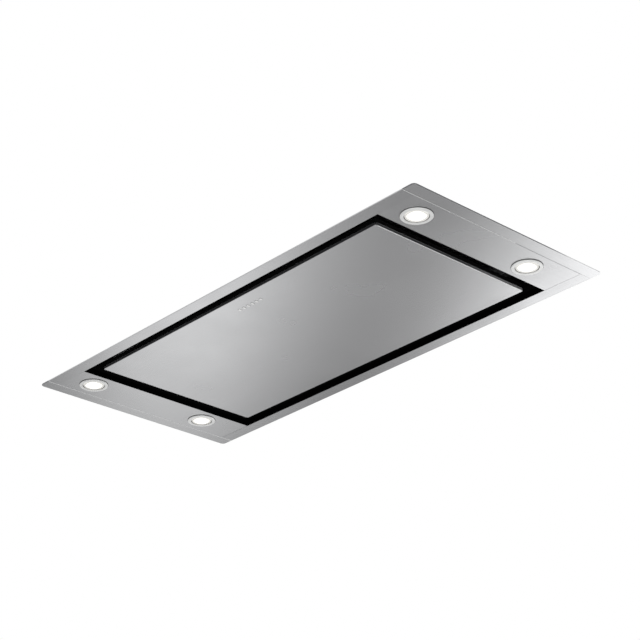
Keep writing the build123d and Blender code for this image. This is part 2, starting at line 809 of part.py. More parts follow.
with BuildPart() as terminals:
    length = terminal_count * terminal_pitch
    terminal_x = (box_x - length / 2, box_x + length / 2)
    terminal_top = box_floor + terminal_height
    block(terminal_x, (terminal_y, terminal_y + terminal_depth), (box_floor, terminal_top))
    for i in range(terminal_count):
        well = (terminal_x[0] + (i + 0.5) * terminal_pitch, terminal_y + terminal_depth / 2)
        rod(screw_well_r, (*well, terminal_top - screw_well), (*well, terminal_top), mode=Mode.SUBTRACT)
save(terminals, "terminal_block")

with BuildPart() as capacitor:
    capacitor_z = box_floor + capacitor_r + running_gap
    rod(
        capacitor_r,
        (box_x - capacitor_length / 2, -box_depth / 4, capacitor_z),
        (box_x + capacitor_length / 2, -box_depth / 4, capacitor_z),
    )
    fillet(capacitor.edges().filter_by(GeomType.CIRCLE), radius=capacitor_edge_r)
save(capacitor, "run_capacitor")

# ---------------------------------------------------------------- panel

inner_length = panel_length - 2 * skin_sheet
inner_depth = panel_depth - 2 * skin_sheet
window = (key_width + 2 * key_gap, key_depth + 2 * key_gap)

with BuildPart() as skin:
    with BuildSketch(Plane.XY.offset(panel_face)):
        RectangleRounded(panel_length, panel_depth, panel_corner_r)
    extrude(amount=rim_height)
    fillet(skin.faces().sort_by(Axis.Z)[0].edges(), radius=rim_bend_r)
    with BuildSketch(Plane.XY.offset(skin_top)):
        RectangleRounded(inner_length, inner_depth, panel_corner_r - skin_sheet)
    extrude(amount=rim_height, mode=Mode.SUBTRACT)
    with BuildSketch(Plane.XY.offset(panel_face)):
        with Locations(*[(x, key_y) for x in key_places]):
            Rectangle(*window)
    extrude(amount=skin_sheet, mode=Mode.SUBTRACT)
save(skin, "panel_skin")

with BuildPart() as backing:
    with BuildSketch(Plane.XY.offset(skin_top)):
        RectangleRounded(inner_length, inner_depth, panel_corner_r - skin_sheet)
    extrude(amount=backing_top - skin_top)
    with BuildSketch(Plane.XY.offset(skin_top)):
        RectangleRounded(
            inner_length - 2 * backing_sheet,
            inner_depth - 2 * backing_sheet,
            panel_corner_r - skin_sheet - backing_sheet,
        )
    extrude(amount=backing_floor - skin_top, mode=Mode.SUBTRACT)
save(backing, "panel_backing")

carrier_x = (key_places[0] - carrier_margin, key_places[-1] + carrier_margin)
carrier_y = (key_y - key_depth / 2 - carrier_margin, key_y + key_depth / 2 + carrier_margin)

with BuildPart() as pad:
    half_x = inner_length / 2 - backing_sheet - panel_corner_r
    half_y = inner_depth / 2 - backing_sheet - panel_corner_r
    block((-half_x, half_x), (-half_y, half_y), (skin_top, skin_top + pad_height))
    block(carrier_x, carrier_y, (skin_top, skin_top + pad_height), mode=Mode.SUBTRACT)
save(pad, "panel_pad")

# The carrier guides the keys: a pocket for each key's flange and a passage for its stem.
flange_half = (key_width / 2 + key_flange, key_depth / 2 + key_flange)
board_z = skin_top + key_stem + key_travel + switch_height + switch_gap
with BuildPart() as carrier:
    block(carrier_x, carrier_y, (skin_top, skin_top + carrier_height))
    block(
        (carrier_x[0] + carrier_wall, carrier_x[1] - carrier_wall),
        (carrier_y[0] + carrier_wall, carrier_y[1] - carrier_wall),
        (board_z, skin_top + carrier_height),
        mode=Mode.SUBTRACT,
    )
    pocket_top = skin_top + key_flange_height + key_travel + key_gap
    with BuildSketch(Plane.XY.offset(skin_top)):
        with Locations(*[(x, key_y) for x in key_places]):
            Rectangle(2 * (flange_half[0] + key_gap), 2 * (flange_half[1] + key_gap))
    extrude(amount=pocket_top - skin_top, mode=Mode.SUBTRACT)
    with BuildSketch(Plane.XY.offset(pocket_top)):
        with Locations(*[(x, key_y) for x in key_places]):
            Rectangle(*window)
    extrude(amount=board_z - pocket_top, mode=Mode.SUBTRACT)
save(carrier, "control_carrier")

with BuildPart() as board:
    block(
        (carrier_x[0] + carrier_wall, carrier_x[1] - carrier_wall),
        (carrier_y[0] + carrier_wall, carrier_y[1] - carrier_wall),
        (board_z, board_z + board_sheet),
    )
    for x in key_places:
        # The switch above each key is reached at the end of the key's travel.
        block(
            (x - switch_side / 2, x + switch_side / 2),
            (key_y - switch_side / 2, key_y + switch_side / 2),
            (board_z - switch_height, board_z),
        )
save(board, "control_board")

for number, x in enumerate(key_places, start=1):
    with BuildPart() as key:
        half = (key_width / 2, key_depth / 2)
        key_span = (panel_face - key_proud, skin_top + key_stem)
        block((x - half[0], x + half[0]), (key_y - half[1], key_y + half[1]), key_span)
        fillet(key.edges().group_by(Axis.Z)[0], radius=key_edge_r)
        block(
            (x - flange_half[0], x + flange_half[0]),
            (key_y - flange_half[1], key_y + flange_half[1]),
            (skin_top, skin_top + key_flange_height),
        )
    save(key, f"key_{number}")

# ---------------------------------------------------------------- hinges and magnets

with BuildPart() as arms:
    base_top = backing_top + arm_base_sheet
    for side in (-1, 1):
        x = side * hinge_x
        block(
            (x - arm_base_width / 2, x + arm_base_width / 2),
            (hinge_y - arm_base_front, hinge_y - arm_base_rear),
            (backing_top, base_top),
        )
        with BuildSketch(Plane.YZ.offset(x - arm_ear / 2)):
            Polygon(
                (hinge_y - arm_base_front / 2, backing_top),
                (hinge_y - arm_base_rear, backing_top),
                (hinge_y, hinge_z - hinge_ear_r),
                (hinge_y, hinge_z + hinge_ear_r),
            )
            with Locations((hinge_y, hinge_z)):
                Circle(hinge_ear_r)
                Circle(hinge_pin_r + running_gap, mode=Mode.SUBTRACT)
        extrude(amount=arm_ear)
save(arms, "panel_hinge_arms")

# A bracket on the slot liner's rear wall holds each arm between two ears, on a riveted pin.
with BuildPart() as hinge_brackets:
    base_y = liner_y - hinge_base_sheet
    base_top = hinge_base_z + hinge_base_height
    for side in (-1, 1):
        x = side * hinge_x
        block(
            (x - hinge_base_width / 2, x + hinge_base_width / 2),
            (base_y, liner_y),
            (hinge_base_z, base_top),
        )
        for ear_x in (x - pin_reach, x + pin_reach - bracket_ear):
            with BuildSketch(Plane.YZ.offset(ear_x)):
                Polygon(
                    (hinge_y - hinge_ear_r, hinge_z),
                    (hinge_y + hinge_ear_r, hinge_z),
                    (hinge_y + hinge_ear_r, hinge_base_z),
                    (base_y, hinge_base_z),
                    (base_y, base_top),
                    (hinge_y - hinge_ear_r, base_top),
                )
                with Locations((hinge_y, hinge_z)):
                    Circle(hinge_ear_r)
            extrude(amount=bracket_ear)
        rod(hinge_pin_r, (x - pin_reach, hinge_y, hinge_z), (x + pin_reach + pin_head, hinge_y, hinge_z))
        rod(
            pin_head_r,
            (x + pin_reach, hinge_y, hinge_z),
            (x + pin_reach + pin_head, hinge_y, hinge_z),
        )
save(hinge_brackets, "hinge_brackets")

# A magnet on each catch bracket holds the strike plate on the panel's back.
catch_arm_z = magnet_z + magnet_height
catch_half = magnet_width / 2
catch_front = catch_y - magnet_depth / 2
catch_rear = catch_y + magnet_depth / 2
with BuildPart() as catch_brackets:
    for side in (-1, 1):
        x = (side * catch_x - catch_width / 2, side * catch_x + catch_width / 2)
        block(x, (-liner_y, catch_rear), (catch_arm_z, catch_arm_z + catch_sheet))
        block(x, (-liner_y, catch_sheet - liner_y), (catch_arm_z - catch_width / 2, catch_arm_z))
save(catch_brackets, "catch_brackets")

with BuildPart() as magnets:
    for side in (-1, 1):
        x = (side * catch_x - catch_half, side * catch_x + catch_half)
        block(x, (catch_front, catch_rear), (magnet_z, catch_arm_z))
save(magnets, "catch_magnets")

with BuildPart() as strikes:
    strike_top = magnet_z - strike_gap
    for side in (-1, 1):
        x = (side * catch_x - catch_half, side * catch_x + catch_half)
        block(x, (catch_front, catch_rear), (backing_top, strike_top))
        block(
            x,
            (catch_front + strike_sheet, catch_rear - strike_sheet),
            (backing_top, strike_top - strike_sheet),
            mode=Mode.SUBTRACT,
        )
save(strikes, "strike_plates")
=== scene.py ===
import json
import math

import bpy
from mathutils import Matrix, Vector

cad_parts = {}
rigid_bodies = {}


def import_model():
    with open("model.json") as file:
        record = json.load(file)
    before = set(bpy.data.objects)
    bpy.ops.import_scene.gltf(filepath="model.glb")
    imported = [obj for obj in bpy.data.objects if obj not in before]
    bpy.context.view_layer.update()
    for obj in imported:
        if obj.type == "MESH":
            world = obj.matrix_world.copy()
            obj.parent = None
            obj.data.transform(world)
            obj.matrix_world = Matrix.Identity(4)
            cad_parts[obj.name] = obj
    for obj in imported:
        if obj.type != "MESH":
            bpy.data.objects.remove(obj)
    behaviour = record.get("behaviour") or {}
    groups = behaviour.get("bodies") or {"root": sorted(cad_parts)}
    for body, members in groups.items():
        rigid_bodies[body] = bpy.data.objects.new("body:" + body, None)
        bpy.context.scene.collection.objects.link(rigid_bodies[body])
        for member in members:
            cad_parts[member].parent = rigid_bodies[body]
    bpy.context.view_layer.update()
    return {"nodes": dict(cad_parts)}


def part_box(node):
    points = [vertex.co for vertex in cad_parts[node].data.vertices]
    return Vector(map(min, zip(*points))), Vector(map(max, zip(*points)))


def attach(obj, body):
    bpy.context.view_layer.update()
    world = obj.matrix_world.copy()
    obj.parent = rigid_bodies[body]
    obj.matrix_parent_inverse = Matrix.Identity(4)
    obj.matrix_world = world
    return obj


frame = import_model()

nodes = frame["nodes"]
MM = 0.001

# ---------------------------------------------------------------- sizes taken from the CAD nodes

SKIN_LOW, SKIN_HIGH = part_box("panel_skin")
BACKING_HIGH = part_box("panel_backing")[1]
WALLS_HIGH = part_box("housing_walls")[1]
COVER_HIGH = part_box("housing_cover")[1]
LID_LOW, LID_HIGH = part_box("electrics_lid")
GLAND_LOW, GLAND_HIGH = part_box("cable_gland")
FRAME_LOW, FRAME_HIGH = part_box("frame_end_right")
PLATE_LOW, PLATE_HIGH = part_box("light_plate_right")
PLATE_FACE = -1.8 * MM
SLOT_X, SLOT_Y = PLATE_LOW.x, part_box("frame_rail_rear")[0].y
COLLAR_FLANGE_TOP = COVER_HIGH.z + 1.2 * MM
COLLAR_RADIUS = 75.0 * MM
LIGHT_X = 0.475
LIGHT_YS = (-0.167, 0.1245)
LIGHT_PLACES = [(x, y) for x in (-LIGHT_X, LIGHT_X) for y in LIGHT_YS]
LENS_RADIUS = 22.2 * MM
BEZEL_RADIUS = 30.0 * MM
HANGER_PLACES = [(x, y) for x in (-0.450, 0.450) for y in (-0.180, 0.180)]
CAMERA_PLACE = Vector((2.3162, -2.1315, -1.5318))

# ---------------------------------------------------------------- steps that nodes and pieces share


def linked(name, data):
    """A new object in the scene."""
    made = bpy.data.objects.new(name, data)
    bpy.context.scene.collection.objects.link(made)
    return made


def mesh_of(name, points, faces=()):
    mesh = bpy.data.meshes.new(name)
    mesh.from_pydata(points, [], faces)
    return mesh


def reckon(tree, operation, *values):
    """The outcome of a sum on a node tree's sockets and on plain numbers."""
    node = tree.nodes.new("ShaderNodeMath")
    node.operation = operation
    for value, socket in zip(values, node.inputs):
        if isinstance(value, float):
            socket.default_value = value
        else:
            tree.links.new(value, socket)
    return node.outputs[0]


def spread(tree, value, start, end, low, high):
    """A socket's value taken from one range to another."""
    node = tree.nodes.new("ShaderNodeMapRange")
    for socket, number in (("From Min", start), ("From Max", end), ("To Min", low), ("To Max", high)):
        node.inputs[socket].default_value = number
    tree.links.new(value, node.inputs["Value"])
    return node.outputs["Result"]


def curved(tree, value, points, tallest):
    """A smooth curve through points (place, height), as a share of the tallest height."""
    curve = tree.nodes.new("ShaderNodeFloatCurve")
    tree.links.new(value, curve.inputs["Value"])
    line = curve.mapping.curves[0]
    while len(line.points) < len(points):
        line.points.new(0.5, 0.5)
    for point, (place, height) in zip(line.points, points):
        point.location = (place, height / tallest)
    curve.mapping.update()
    return curve.outputs[0]


def object_axes(tree):
    """The three coordinates of object space."""
    space = tree.nodes.new("ShaderNodeTexCoord").outputs["Object"]
    split = tree.nodes.new("ShaderNodeSeparateXYZ")
    tree.links.new(space, split.inputs["Vector"])
    return split.outputs


# ---------------------------------------------------------------- finishes

# A mix node's sockets, as (factor, first, second, outcome), for colours and for numbers.
COLOUR_MIX = (0, 6, 7, 2)
NUMBER_MIX = (0, 2, 3, 0)


class Finish:
    """A material made step by step round one shader, with its patterns in object space."""

    def __init__(self, name, colour, roughness, metallic=0.0):
        self.material = bpy.data.materials.new(name)
        self.material.use_nodes = True
        self.tree = self.material.node_tree
        self.shader = self.tree.nodes["Principled BSDF"]
        self.set("Base Color", (*colour, 1.0))
        self.set("Roughness", roughness)
        self.set("Metallic", metallic)
        self.height = None
        self.space = self.node("ShaderNodeTexCoord").outputs["Object"]

    def set(self, socket, value):
        self.shader.inputs[socket].default_value = value

    def node(self, kind, **settings):
        made = self.tree.nodes.new(kind)
        for setting, value in settings.items():
            setattr(made, setting, value)
        return made

    def join(self, source, target):
        self.tree.links.new(source, target)

    def stretched(self, scale):
        """Object space, stretched along its axes."""
        mapping = self.node("ShaderNodeMapping")
        mapping.inputs["Scale"].default_value = scale
        self.join(self.space, mapping.inputs["Vector"])
        return mapping.outputs["Vector"]

    def noise(self, scale, detail=3.0, stretch=(1.0, 1.0, 1.0), rough=0.5):
        noise = self.node("ShaderNodeTexNoise")
        noise.inputs["Scale"].default_value = scale
        noise.inputs["Detail"].default_value = detail
        noise.inputs["Roughness"].default_value = rough
        self.join(self.stretched(stretch), noise.inputs["Vector"])
        return noise.outputs["Fac"]

    def cells(self, scale, feature="F1", output="Color", stretch=(1.0, 1.0, 1.0)):
        cells = self.node("ShaderNodeTexVoronoi", feature=feature)
        cells.inputs["Scale"].default_value = scale
        self.join(self.stretched(stretch), cells.inputs["Vector"])
        return cells.outputs[output]

    def between(self, value, low, high, start=0.3, end=0.7):
        return spread(self.tree, value, start, end, low, high)

    def reckon(self, operation, *values):
        return reckon(self.tree, operation, *values)

    def overlaid(self, socket_name, kind, sockets, factor, value):
        """Turn what a socket of the shader has now toward another value, by a factor."""
        mix = self.node("ShaderNodeMix", data_type=kind)
        share, first, second = (mix.inputs[number] for number in sockets[:3])
        socket = self.shader.inputs[socket_name]
        if socket.is_linked:
            self.join(socket.links[0].from_socket, first)
        else:
            first.default_value = socket.default_value
        second.default_value = value
        self.join(factor, share)
        self.join(mix.outputs[sockets[3]], socket)
        return self

    def tint(self, value, colour, amount=1.0):
        """Lay another colour over the finish where the value is high."""
        factor = self.between(value, 0.0, amount)
        return self.overlaid("Base Color", "RGBA", COLOUR_MIX, factor, (*colour, 1.0))

    def blend(self, socket_name, value, number):
        """Turn a number of the finish to another where the value is one."""
        return self.overlaid(socket_name, "FLOAT", NUMBER_MIX, value, number)

    def where(self, compare, x, y, total=None):
        """One where the distance from the middle along X or Y compares so with its limit, or nought.

        The total is a third limit, for the two distances together: it takes in a rounded corner.
        """
        axes = object_axes(self.tree)
        reach_x, reach_y = (self.reckon("ABSOLUTE", axes[axis]) for axis in "XY")
        past_x, past_y = self.reckon(compare, reach_x, x), self.reckon(compare, reach_y, y)
        found = self.reckon("MAXIMUM", past_x, past_y)
        if total:
            both = self.reckon("ADD", reach_x, reach_y)
            found = self.reckon("MAXIMUM", found, self.reckon(compare, both, total))
        return found

    def fading(self, value, start, end):
        """The value kept before the start along Y and gone past the end."""
        along = object_axes(self.tree)["Y"]
        return self.reckon("MULTIPLY", value, self.between(along, 1.0, 0.0, start, end))

    def roughen(self, value, low, high):
        self.join(self.between(value, low, high), self.shader.inputs["Roughness"])
        return self

    def emboss(self, value, depth, strength=1.0):
        """Raise the surface where the value is high; the depth is in metres."""
        bump = self.node("ShaderNodeBump")
        bump.inputs["Strength"].default_value = strength
        bump.inputs["Distance"].default_value = depth
        self.join(value, bump.inputs["Height"])
        if self.height is not None:
            self.join(self.height, bump.inputs["Normal"])
        self.height = bump.outputs["Normal"]
        self.join(self.height, self.shader.inputs["Normal"])
        return self


def shade(colour, share):
    return tuple(min(1.0, share * part) for part in colour)


def brushed(name, colour, roughness, along="x", depth=0.00004, sides=()):
    """Sheet metal brushed in one direction: long fine scratches, and clouds of finger wear.

    Each of its bends or sides can be given a colour of its own, mostly painted shade and painted
    highlights, given as (comparison, limits, colour, roughness, where it fades along Y).
    """
    steel = Finish(name, colour, roughness, metallic=1.0)
    grain = (4.0, 1400.0, 1400.0) if along == "x" else (1400.0, 4.0, 1400.0)
    fine = steel.noise(1.0, 4.0, stretch=grain, rough=0.6)
    streaks = steel.noise(1.0, 2.0, stretch=tuple(part / 5 for part in grain))
    clouds = steel.noise(7.0, 3.0)
    darker, paler = shade(colour, 0.90), shade(colour, 1.06)
    steel.tint(fine, darker, 0.55).tint(streaks, paler, 0.35).tint(clouds, darker, 0.25)
    steel.roughen(clouds, roughness - 0.03, roughness + 0.04)
    steel.emboss(fine, depth).emboss(streaks, depth)
    for compare, limits, side_colour, side_roughness, fade in sides:
        side = steel.where(compare, *limits)
        if fade:
            side = steel.fading(side, *fade)
        steel.tint(side, side_colour).blend("Roughness", side, side_roughness)
    return steel.material


def galvanised(name, colour=(0.50, 0.52, 0.54)):
    """Zinc-coated sheet: crystals of a centimetre or so, each with its own tone and gloss."""
    zinc = Finish(name, colour, 0.42, metallic=1.0)
    crystals = zinc.cells(120.0)
    split = zinc.node("ShaderNodeSeparateColor")
    zinc.join(crystals, split.inputs["Color"])
    feathers = zinc.noise(160.0, 5.0, stretch=(1.0, 2.5, 1.0))
    stains = zinc.noise(5.0, 4.0)
    zinc.tint(split.outputs["Red"], shade(colour, 0.84), 0.8)
    zinc.tint(feathers, shade(colour, 1.12), 0.5)
    zinc.tint(stains, (0.38, 0.39, 0.40), 0.25)
    zinc.roughen(split.outputs["Green"], 0.36, 0.48)
    zinc.emboss(feathers, 0.00005, 0.5)
    return zinc.material


def coated(name, colour, roughness=0.5, grain=900.0, depth=0.00006, gloss=0.5, sides=None):
    """Powder coat: an even orange-peel skin, a little dust, and sides of another colour if asked."""
    coat = Finish(name, colour, roughness)
    coat.set("Specular IOR Level", gloss)
    peel = coat.noise(grain, 2.0)
    dust = coat.noise(14.0, 5.0)
    coat.tint(dust, tuple(0.85 * part + 0.04 * gloss for part in colour), 0.5)
    coat.roughen(dust, roughness - 0.05, roughness + 0.08)
    if sides:
        limits, side_colour = sides
        coat.tint(coat.where("GREATER_THAN", *limits), side_colour)
    coat.emboss(peel, depth, 0.6)
    return coat.material


def moulded(name, colour, roughness=0.42, grain=1600.0, depth=0.00004):
    """Moulded plastic: fine spark texture, slightly uneven gloss and faint flow marks."""
    plastic = Finish(name, colour, roughness)
    spark = plastic.noise(grain, 3.0, rough=0.7)
    flow = plastic.noise(22.0, 3.0, stretch=(1.0, 3.0, 1.0))
    plastic.tint(flow, shade(colour, 0.86), 0.6)
    plastic.roughen(flow, roughness - 0.05, roughness + 0.06)
    plastic.emboss(spark, depth, 0.7)
    return plastic.material


def drawn_metal(name, colour, roughness, scale=260.0):
    """Plain drawn or ground metal: fine speckle and slight stains."""
    metal = Finish(name, colour, roughness, metallic=1.0)
    speckle = metal.noise(scale, 4.0, rough=0.7)
    stains = metal.noise(30.0, 3.0)
    metal.tint(speckle, shade(colour, 0.82), 0.5)
    metal.tint(stains, shade(colour, 0.88), 0.5)
    metal.roughen(stains, roughness - 0.05, roughness + 0.08)
    metal.emboss(speckle, 0.00003, 0.5)
    return metal.material


def satin_metal(name, colour, metallic=0.35):
    """Pale lacquered metal: much of its light comes back without a sheen."""
    satin = Finish(name, colour, 0.34, metallic=metallic)
    speckle = satin.noise(700.0, 3.0)
    wear = satin.noise(40.0, 3.0)
    satin.tint(speckle, shade(colour, 0.94), 0.5)
    satin.tint(wear, shade(colour, 0.95), 0.5)
    satin.roughen(wear, 0.30, 0.40)
    satin.emboss(speckle, 0.00002, 0.5)
    return satin.material


# The lamp's glow from its middle to its rim, as (share of the radius, brightness): a bright
# core, a dim rebate round it and a pale rim.
LAMP_SQUARENESS = 2.6
LAMP_BRIGHTEST = 3.2
LAMP_GLOW = [
    (0.0, 3.2),
    (0.47, 2.5),
    (0.63, 1.1),
    (0.74, 0.35),
    (0.81, 0.0),
    (0.87, 0.05),
    (0.93, 0.22),
    (1.0, 0.2),
]


def lamp_glass(name):
    """Frosted cover over a warm white diode: brightest in a soft square over the diode."""
    glass = Finish(name, (0.80, 0.79, 0.76), 0.25)
    axes = object_axes(glass.tree)
    powers = []
    for axis, middles in (("X", (-LIGHT_X, LIGHT_X)), ("Y", LIGHT_YS)):
        reaches = [glass.reckon("SUBTRACT", axes[axis], middle) for middle in middles]
        nearest = glass.reckon("MINIMUM", *(glass.reckon("ABSOLUTE", reach) for reach in reaches))
        powers.append(glass.reckon("POWER", nearest, LAMP_SQUARENESS))
    root = glass.reckon("POWER", glass.reckon("ADD", *powers), 1.0 / LAMP_SQUARENESS)
    radius = glass.between(root, 0.0, 1.0, start=0.0, end=LENS_RADIUS)
    glow = curved(glass.tree, radius, LAMP_GLOW, LAMP_BRIGHTEST)
    frost = glass.noise(900.0, 2.0)
    ripple = glass.between(frost, 0.94 * LAMP_BRIGHTEST, 1.06 * LAMP_BRIGHTEST)
    glass.set("Emission Color", (1.0, 0.95, 0.84, 1.0))
    glass.join(glass.reckon("MULTIPLY", glow, ripple), glass.shader.inputs["Emission Strength"])
    glass.emboss(frost, 0.00003, 0.4)
    return glass.material


def fibre_board(name):
    """Green circuit board with faint copper runs under its lacquer."""
    board = Finish(name, (0.02, 0.13, 0.06), 0.35)
    runs = board.cells(260.0, "DISTANCE_TO_EDGE", "Distance", stretch=(1.0, 2.0, 1.0))
    thin = board.between(runs, 1.0, 0.0, start=0.0, end=0.12)
    board.tint(thin, (0.06, 0.26, 0.11), 0.9)
    board.emboss(thin, 0.00003, 0.6)
    return board.material


def open_foam(name):
    """Charcoal sound-absorbing foam: open pores of a millimetre or two."""
    foam = Finish(name, (0.035, 0.036, 0.038), 0.95)
    pores = foam.cells(620.0, output="Distance")
    # The pores are darker: painted shade in them.
    foam.tint(foam.between(pores, 1.0, 0.0, start=0.1, end=0.5), (0.008, 0.008, 0.009), 0.9)
    foam.emboss(pores, 0.0006, 0.9)
    return foam.material


def wire_wool(name):
    """The filter's packed inner layers of aluminium mesh, seen between the strands."""
    wool = Finish(name, (0.42, 0.43, 0.44), 0.45, metallic=1.0)
    strands = wool.cells(420.0, "DISTANCE_TO_EDGE", "Distance", stretch=(1.0, 1.7, 1.0))
    # Dark between the strands: painted shade in the gaps of the mesh.
    shaded_gaps = wool.between(strands, 0.0, 1.0, start=0.03, end=0.16)
    wool.tint(shaded_gaps, (0.05, 0.05, 0.055), 0.95)
    wool.emboss(shaded_gaps, 0.0008, 0.8)
    return wool.material


STEEL = (0.590, 0.592, 0.600)
# The rails are the same steel as the ends, made a little darker: painted shade.
SHADED_RAIL_STEEL = (0.567, 0.569, 0.577)
DARK = (0.003, 0.003, 0.003)
# Bends and sides get colours of their own, most of them painted shade and painted highlights,
# past or short of limits from the hood's middle that reach a little into the sheet. Nothing lies
# beyond the first of these.
BEYOND = 1.0
SHEET_EDGE = 0.5 * MM
SHEET_FACE = 0.05 * MM
CORNER_CUT = 5.6 * MM
FRAME_EDGE = (FRAME_HIGH.x - SHEET_EDGE, FRAME_HIGH.y - SHEET_EDGE)
FRAME_CORNER = FRAME_HIGH.x + FRAME_HIGH.y - CORNER_CUT
PLATE_EDGE = (PLATE_HIGH.x - 0.4 * MM, PLATE_HIGH.y - SHEET_FACE)
RIM_EDGE = (SKIN_HIGH.x - SHEET_EDGE, SKIN_HIGH.y - SHEET_EDGE)
BACKING_EDGE = (BACKING_HIGH.x - SHEET_EDGE, BACKING_HIGH.y - SHEET_EDGE)
RAIL_SIDES = [
    # The rails' outer sides are painted darker: painted shade. Their sides facing the slot are black.
    ("GREATER_THAN", (BEYOND, FRAME_EDGE[1]), (0.50, 0.50, 0.51), 0.4, None),
    ("LESS_THAN", (0.0, SLOT_Y + SHEET_FACE), DARK, 0.7, None),
]
PLATE_SIDES = [
    ("GREATER_THAN", PLATE_EDGE, (0.20, 0.20, 0.21), 0.4, None),
    ("LESS_THAN", (SLOT_X + SHEET_FACE, 0.0), DARK, 0.7, None),
]
# The frame ends' outer edges and rounded corners are painted dark, fading out along Y: painted shade.
END_EDGE_SHADE = [("GREATER_THAN", (*FRAME_EDGE, FRAME_CORNER), (0.14, 0.14, 0.15), 0.5, (0.06, 0.20))]
# The panel's rim walls are painted dark as painted shade, and pale again toward +Y as a painted
# highlight.
RIM_SHADE_AND_HIGHLIGHT = [
    ("GREATER_THAN", RIM_EDGE, (0.26, 0.26, 0.27), 0.6, None),
    ("GREATER_THAN", RIM_EDGE, (0.90, 0.90, 0.91), 0.6, (0.13, 0.0)),
]
finishes = {
    "rail_steel": brushed("rail_steel", SHADED_RAIL_STEEL, 0.24, along="x", sides=RAIL_SIDES),
    "end_steel": brushed("end_steel", STEEL, 0.24, along="y", sides=END_EDGE_SHADE),
    "plate_steel": brushed("plate_steel", STEEL, 0.25, along="y", sides=PLATE_SIDES),
    "panel_steel": brushed("panel_steel", STEEL, 0.24, along="x", sides=RIM_SHADE_AND_HIGHLIGHT),
    "seam_steel": brushed("seam_steel", STEEL, 0.24, along="x"),
    # Pale: a painted highlight along the panel's bends.
    "bend_highlight_steel": satin_metal("bend_highlight_steel", (0.74, 0.74, 0.73), 0.15),
    "dull_hem": drawn_metal("dull_hem", (0.45, 0.45, 0.46), 0.50),
    "key_steel": brushed("key_steel", (0.86, 0.86, 0.85), 0.26, along="y"),
    "bezel_satin": satin_metal("bezel_satin", (0.80, 0.80, 0.79)),
    # Pale: a painted highlight along the frame ends' hems.
    "pale_hem_highlight": satin_metal("pale_hem_highlight", (0.92, 0.92, 0.91), 0.15),
    "lamp_glass": lamp_glass("lamp_glass"),
    "black_coat": coated("black_coat", (0.012, 0.012, 0.013), 0.50),
    "backing_coat": coated(
        "backing_coat", (0.016, 0.016, 0.017), 0.60, gloss=0.12, sides=(BACKING_EDGE, DARK)
    ),
    # Nearly pure black with almost no sheen: the liner's black paint, made darker as painted shade deep
    # in the slot.
    "liner_black_and_shade": coated("liner_black_and_shade", (0.002, 0.002, 0.0022), 0.70, gloss=0.06),
    "sink_black": coated("sink_black", (0.015, 0.015, 0.017), 0.40, grain=1500.0),
    "zinc_sheet": galvanised("zinc_sheet"),
    "zinc_bracket": galvanised("zinc_bracket", (0.58, 0.59, 0.60)),
    "spring_steel": drawn_metal("spring_steel", (0.47, 0.47, 0.48), 0.30),
    "cast_aluminium": brushed("cast_aluminium", (0.42, 0.43, 0.44), 0.42, along="y", depth=0.00003),
    "filter_wool": wire_wool("filter_wool"),
    "strand_aluminium": drawn_metal("strand_aluminium", (0.40, 0.41, 0.42), 0.45),
    "magnet_grey": drawn_metal("magnet_grey", (0.20, 0.20, 0.21), 0.38),
    "motor_paint": coated("motor_paint", (0.045, 0.050, 0.060), 0.42),
    "blade_plastic": moulded("blade_plastic", (0.030, 0.032, 0.034), 0.45),
    "black_plastic": moulded("black_plastic", (0.018, 0.018, 0.019), 0.42),
    "latch_plastic": moulded("latch_plastic", (0.028, 0.028, 0.030), 0.40),
    "white_plastic": moulded("white_plastic", (0.78, 0.78, 0.75), 0.38),
    "board": fibre_board("board"),
    "soft_rubber": moulded("soft_rubber", (0.020, 0.020, 0.020), 0.80, grain=700.0, depth=0.0001),
    "pad_foam": open_foam("pad_foam"),
    "screw_zinc": drawn_metal("screw_zinc", (0.70, 0.70, 0.69), 0.26),
}

FILTERS = range(1, 4)
KEYS = range(1, 7)
WEARERS = {
    "end_steel": ["frame_end_left", "frame_end_right"],
    "rail_steel": ["frame_rail_front", "frame_rail_rear"],
    "plate_steel": ["light_plate_left", "light_plate_right"],
    "panel_steel": ["panel_skin"],
    "key_steel": [f"key_{number}" for number in KEYS],
    "bezel_satin": ["light_bezels"],
    "lamp_glass": ["light_lenses"],
    "sink_black": ["light_heat_sinks"],
    "liner_black_and_shade": ["slot_liner"],
    "backing_coat": ["panel_backing"],
    "black_coat": ["filter_tray", "filter_rails", "catch_brackets"],
    "zinc_sheet": ["housing_walls", "housing_cover", "fan_scroll", "fan_side_left", "fan_side_right"],
    "zinc_bracket": [
        "frame_corner_brackets",
        "suspension_brackets",
        "motor_bracket",
        "electrics_box",
        "electrics_lid",
    ],
    "spring_steel": [
        "light_spring_clips",
        "motor_shaft",
        "panel_hinge_arms",
        "hinge_brackets",
        "strike_plates",
    ],
    "cast_aluminium": [f"filter_frame_{number}" for number in FILTERS],
    "filter_wool": [f"filter_mesh_{number}" for number in FILTERS],
    "latch_plastic": [f"filter_latch_{number}" for number in FILTERS],
    "white_plastic": ["led_driver", "terminal_block", "run_capacitor"],
    "black_plastic": [
        "fan_inlet_rings",
        "outlet_collar",
        "damper_flap_front",
        "damper_flap_rear",
        "cable_gland",
        "control_carrier",
    ],
    "motor_paint": ["fan_motor"],
    "blade_plastic": ["impeller"],
    "soft_rubber": ["fan_rubber_mounts"],
    "pad_foam": ["panel_pad"],
    "board": ["control_board"],
    "magnet_grey": ["catch_magnets"],
}
for finish, wearers in WEARERS.items():
    for name in wearers:
        mesh = nodes[name].data
        for slot_number in range(len(mesh.materials)):
            mesh.materials[slot_number] = finishes[finish]

# ---------------------------------------------------------------- shapes of small pieces


def circle(radius, height, sides, start=0.0):
    turns = [start + math.tau * i / sides for i in range(sides)]
    return [(radius * math.cos(turn), radius * math.sin(turn), height) for turn in turns]


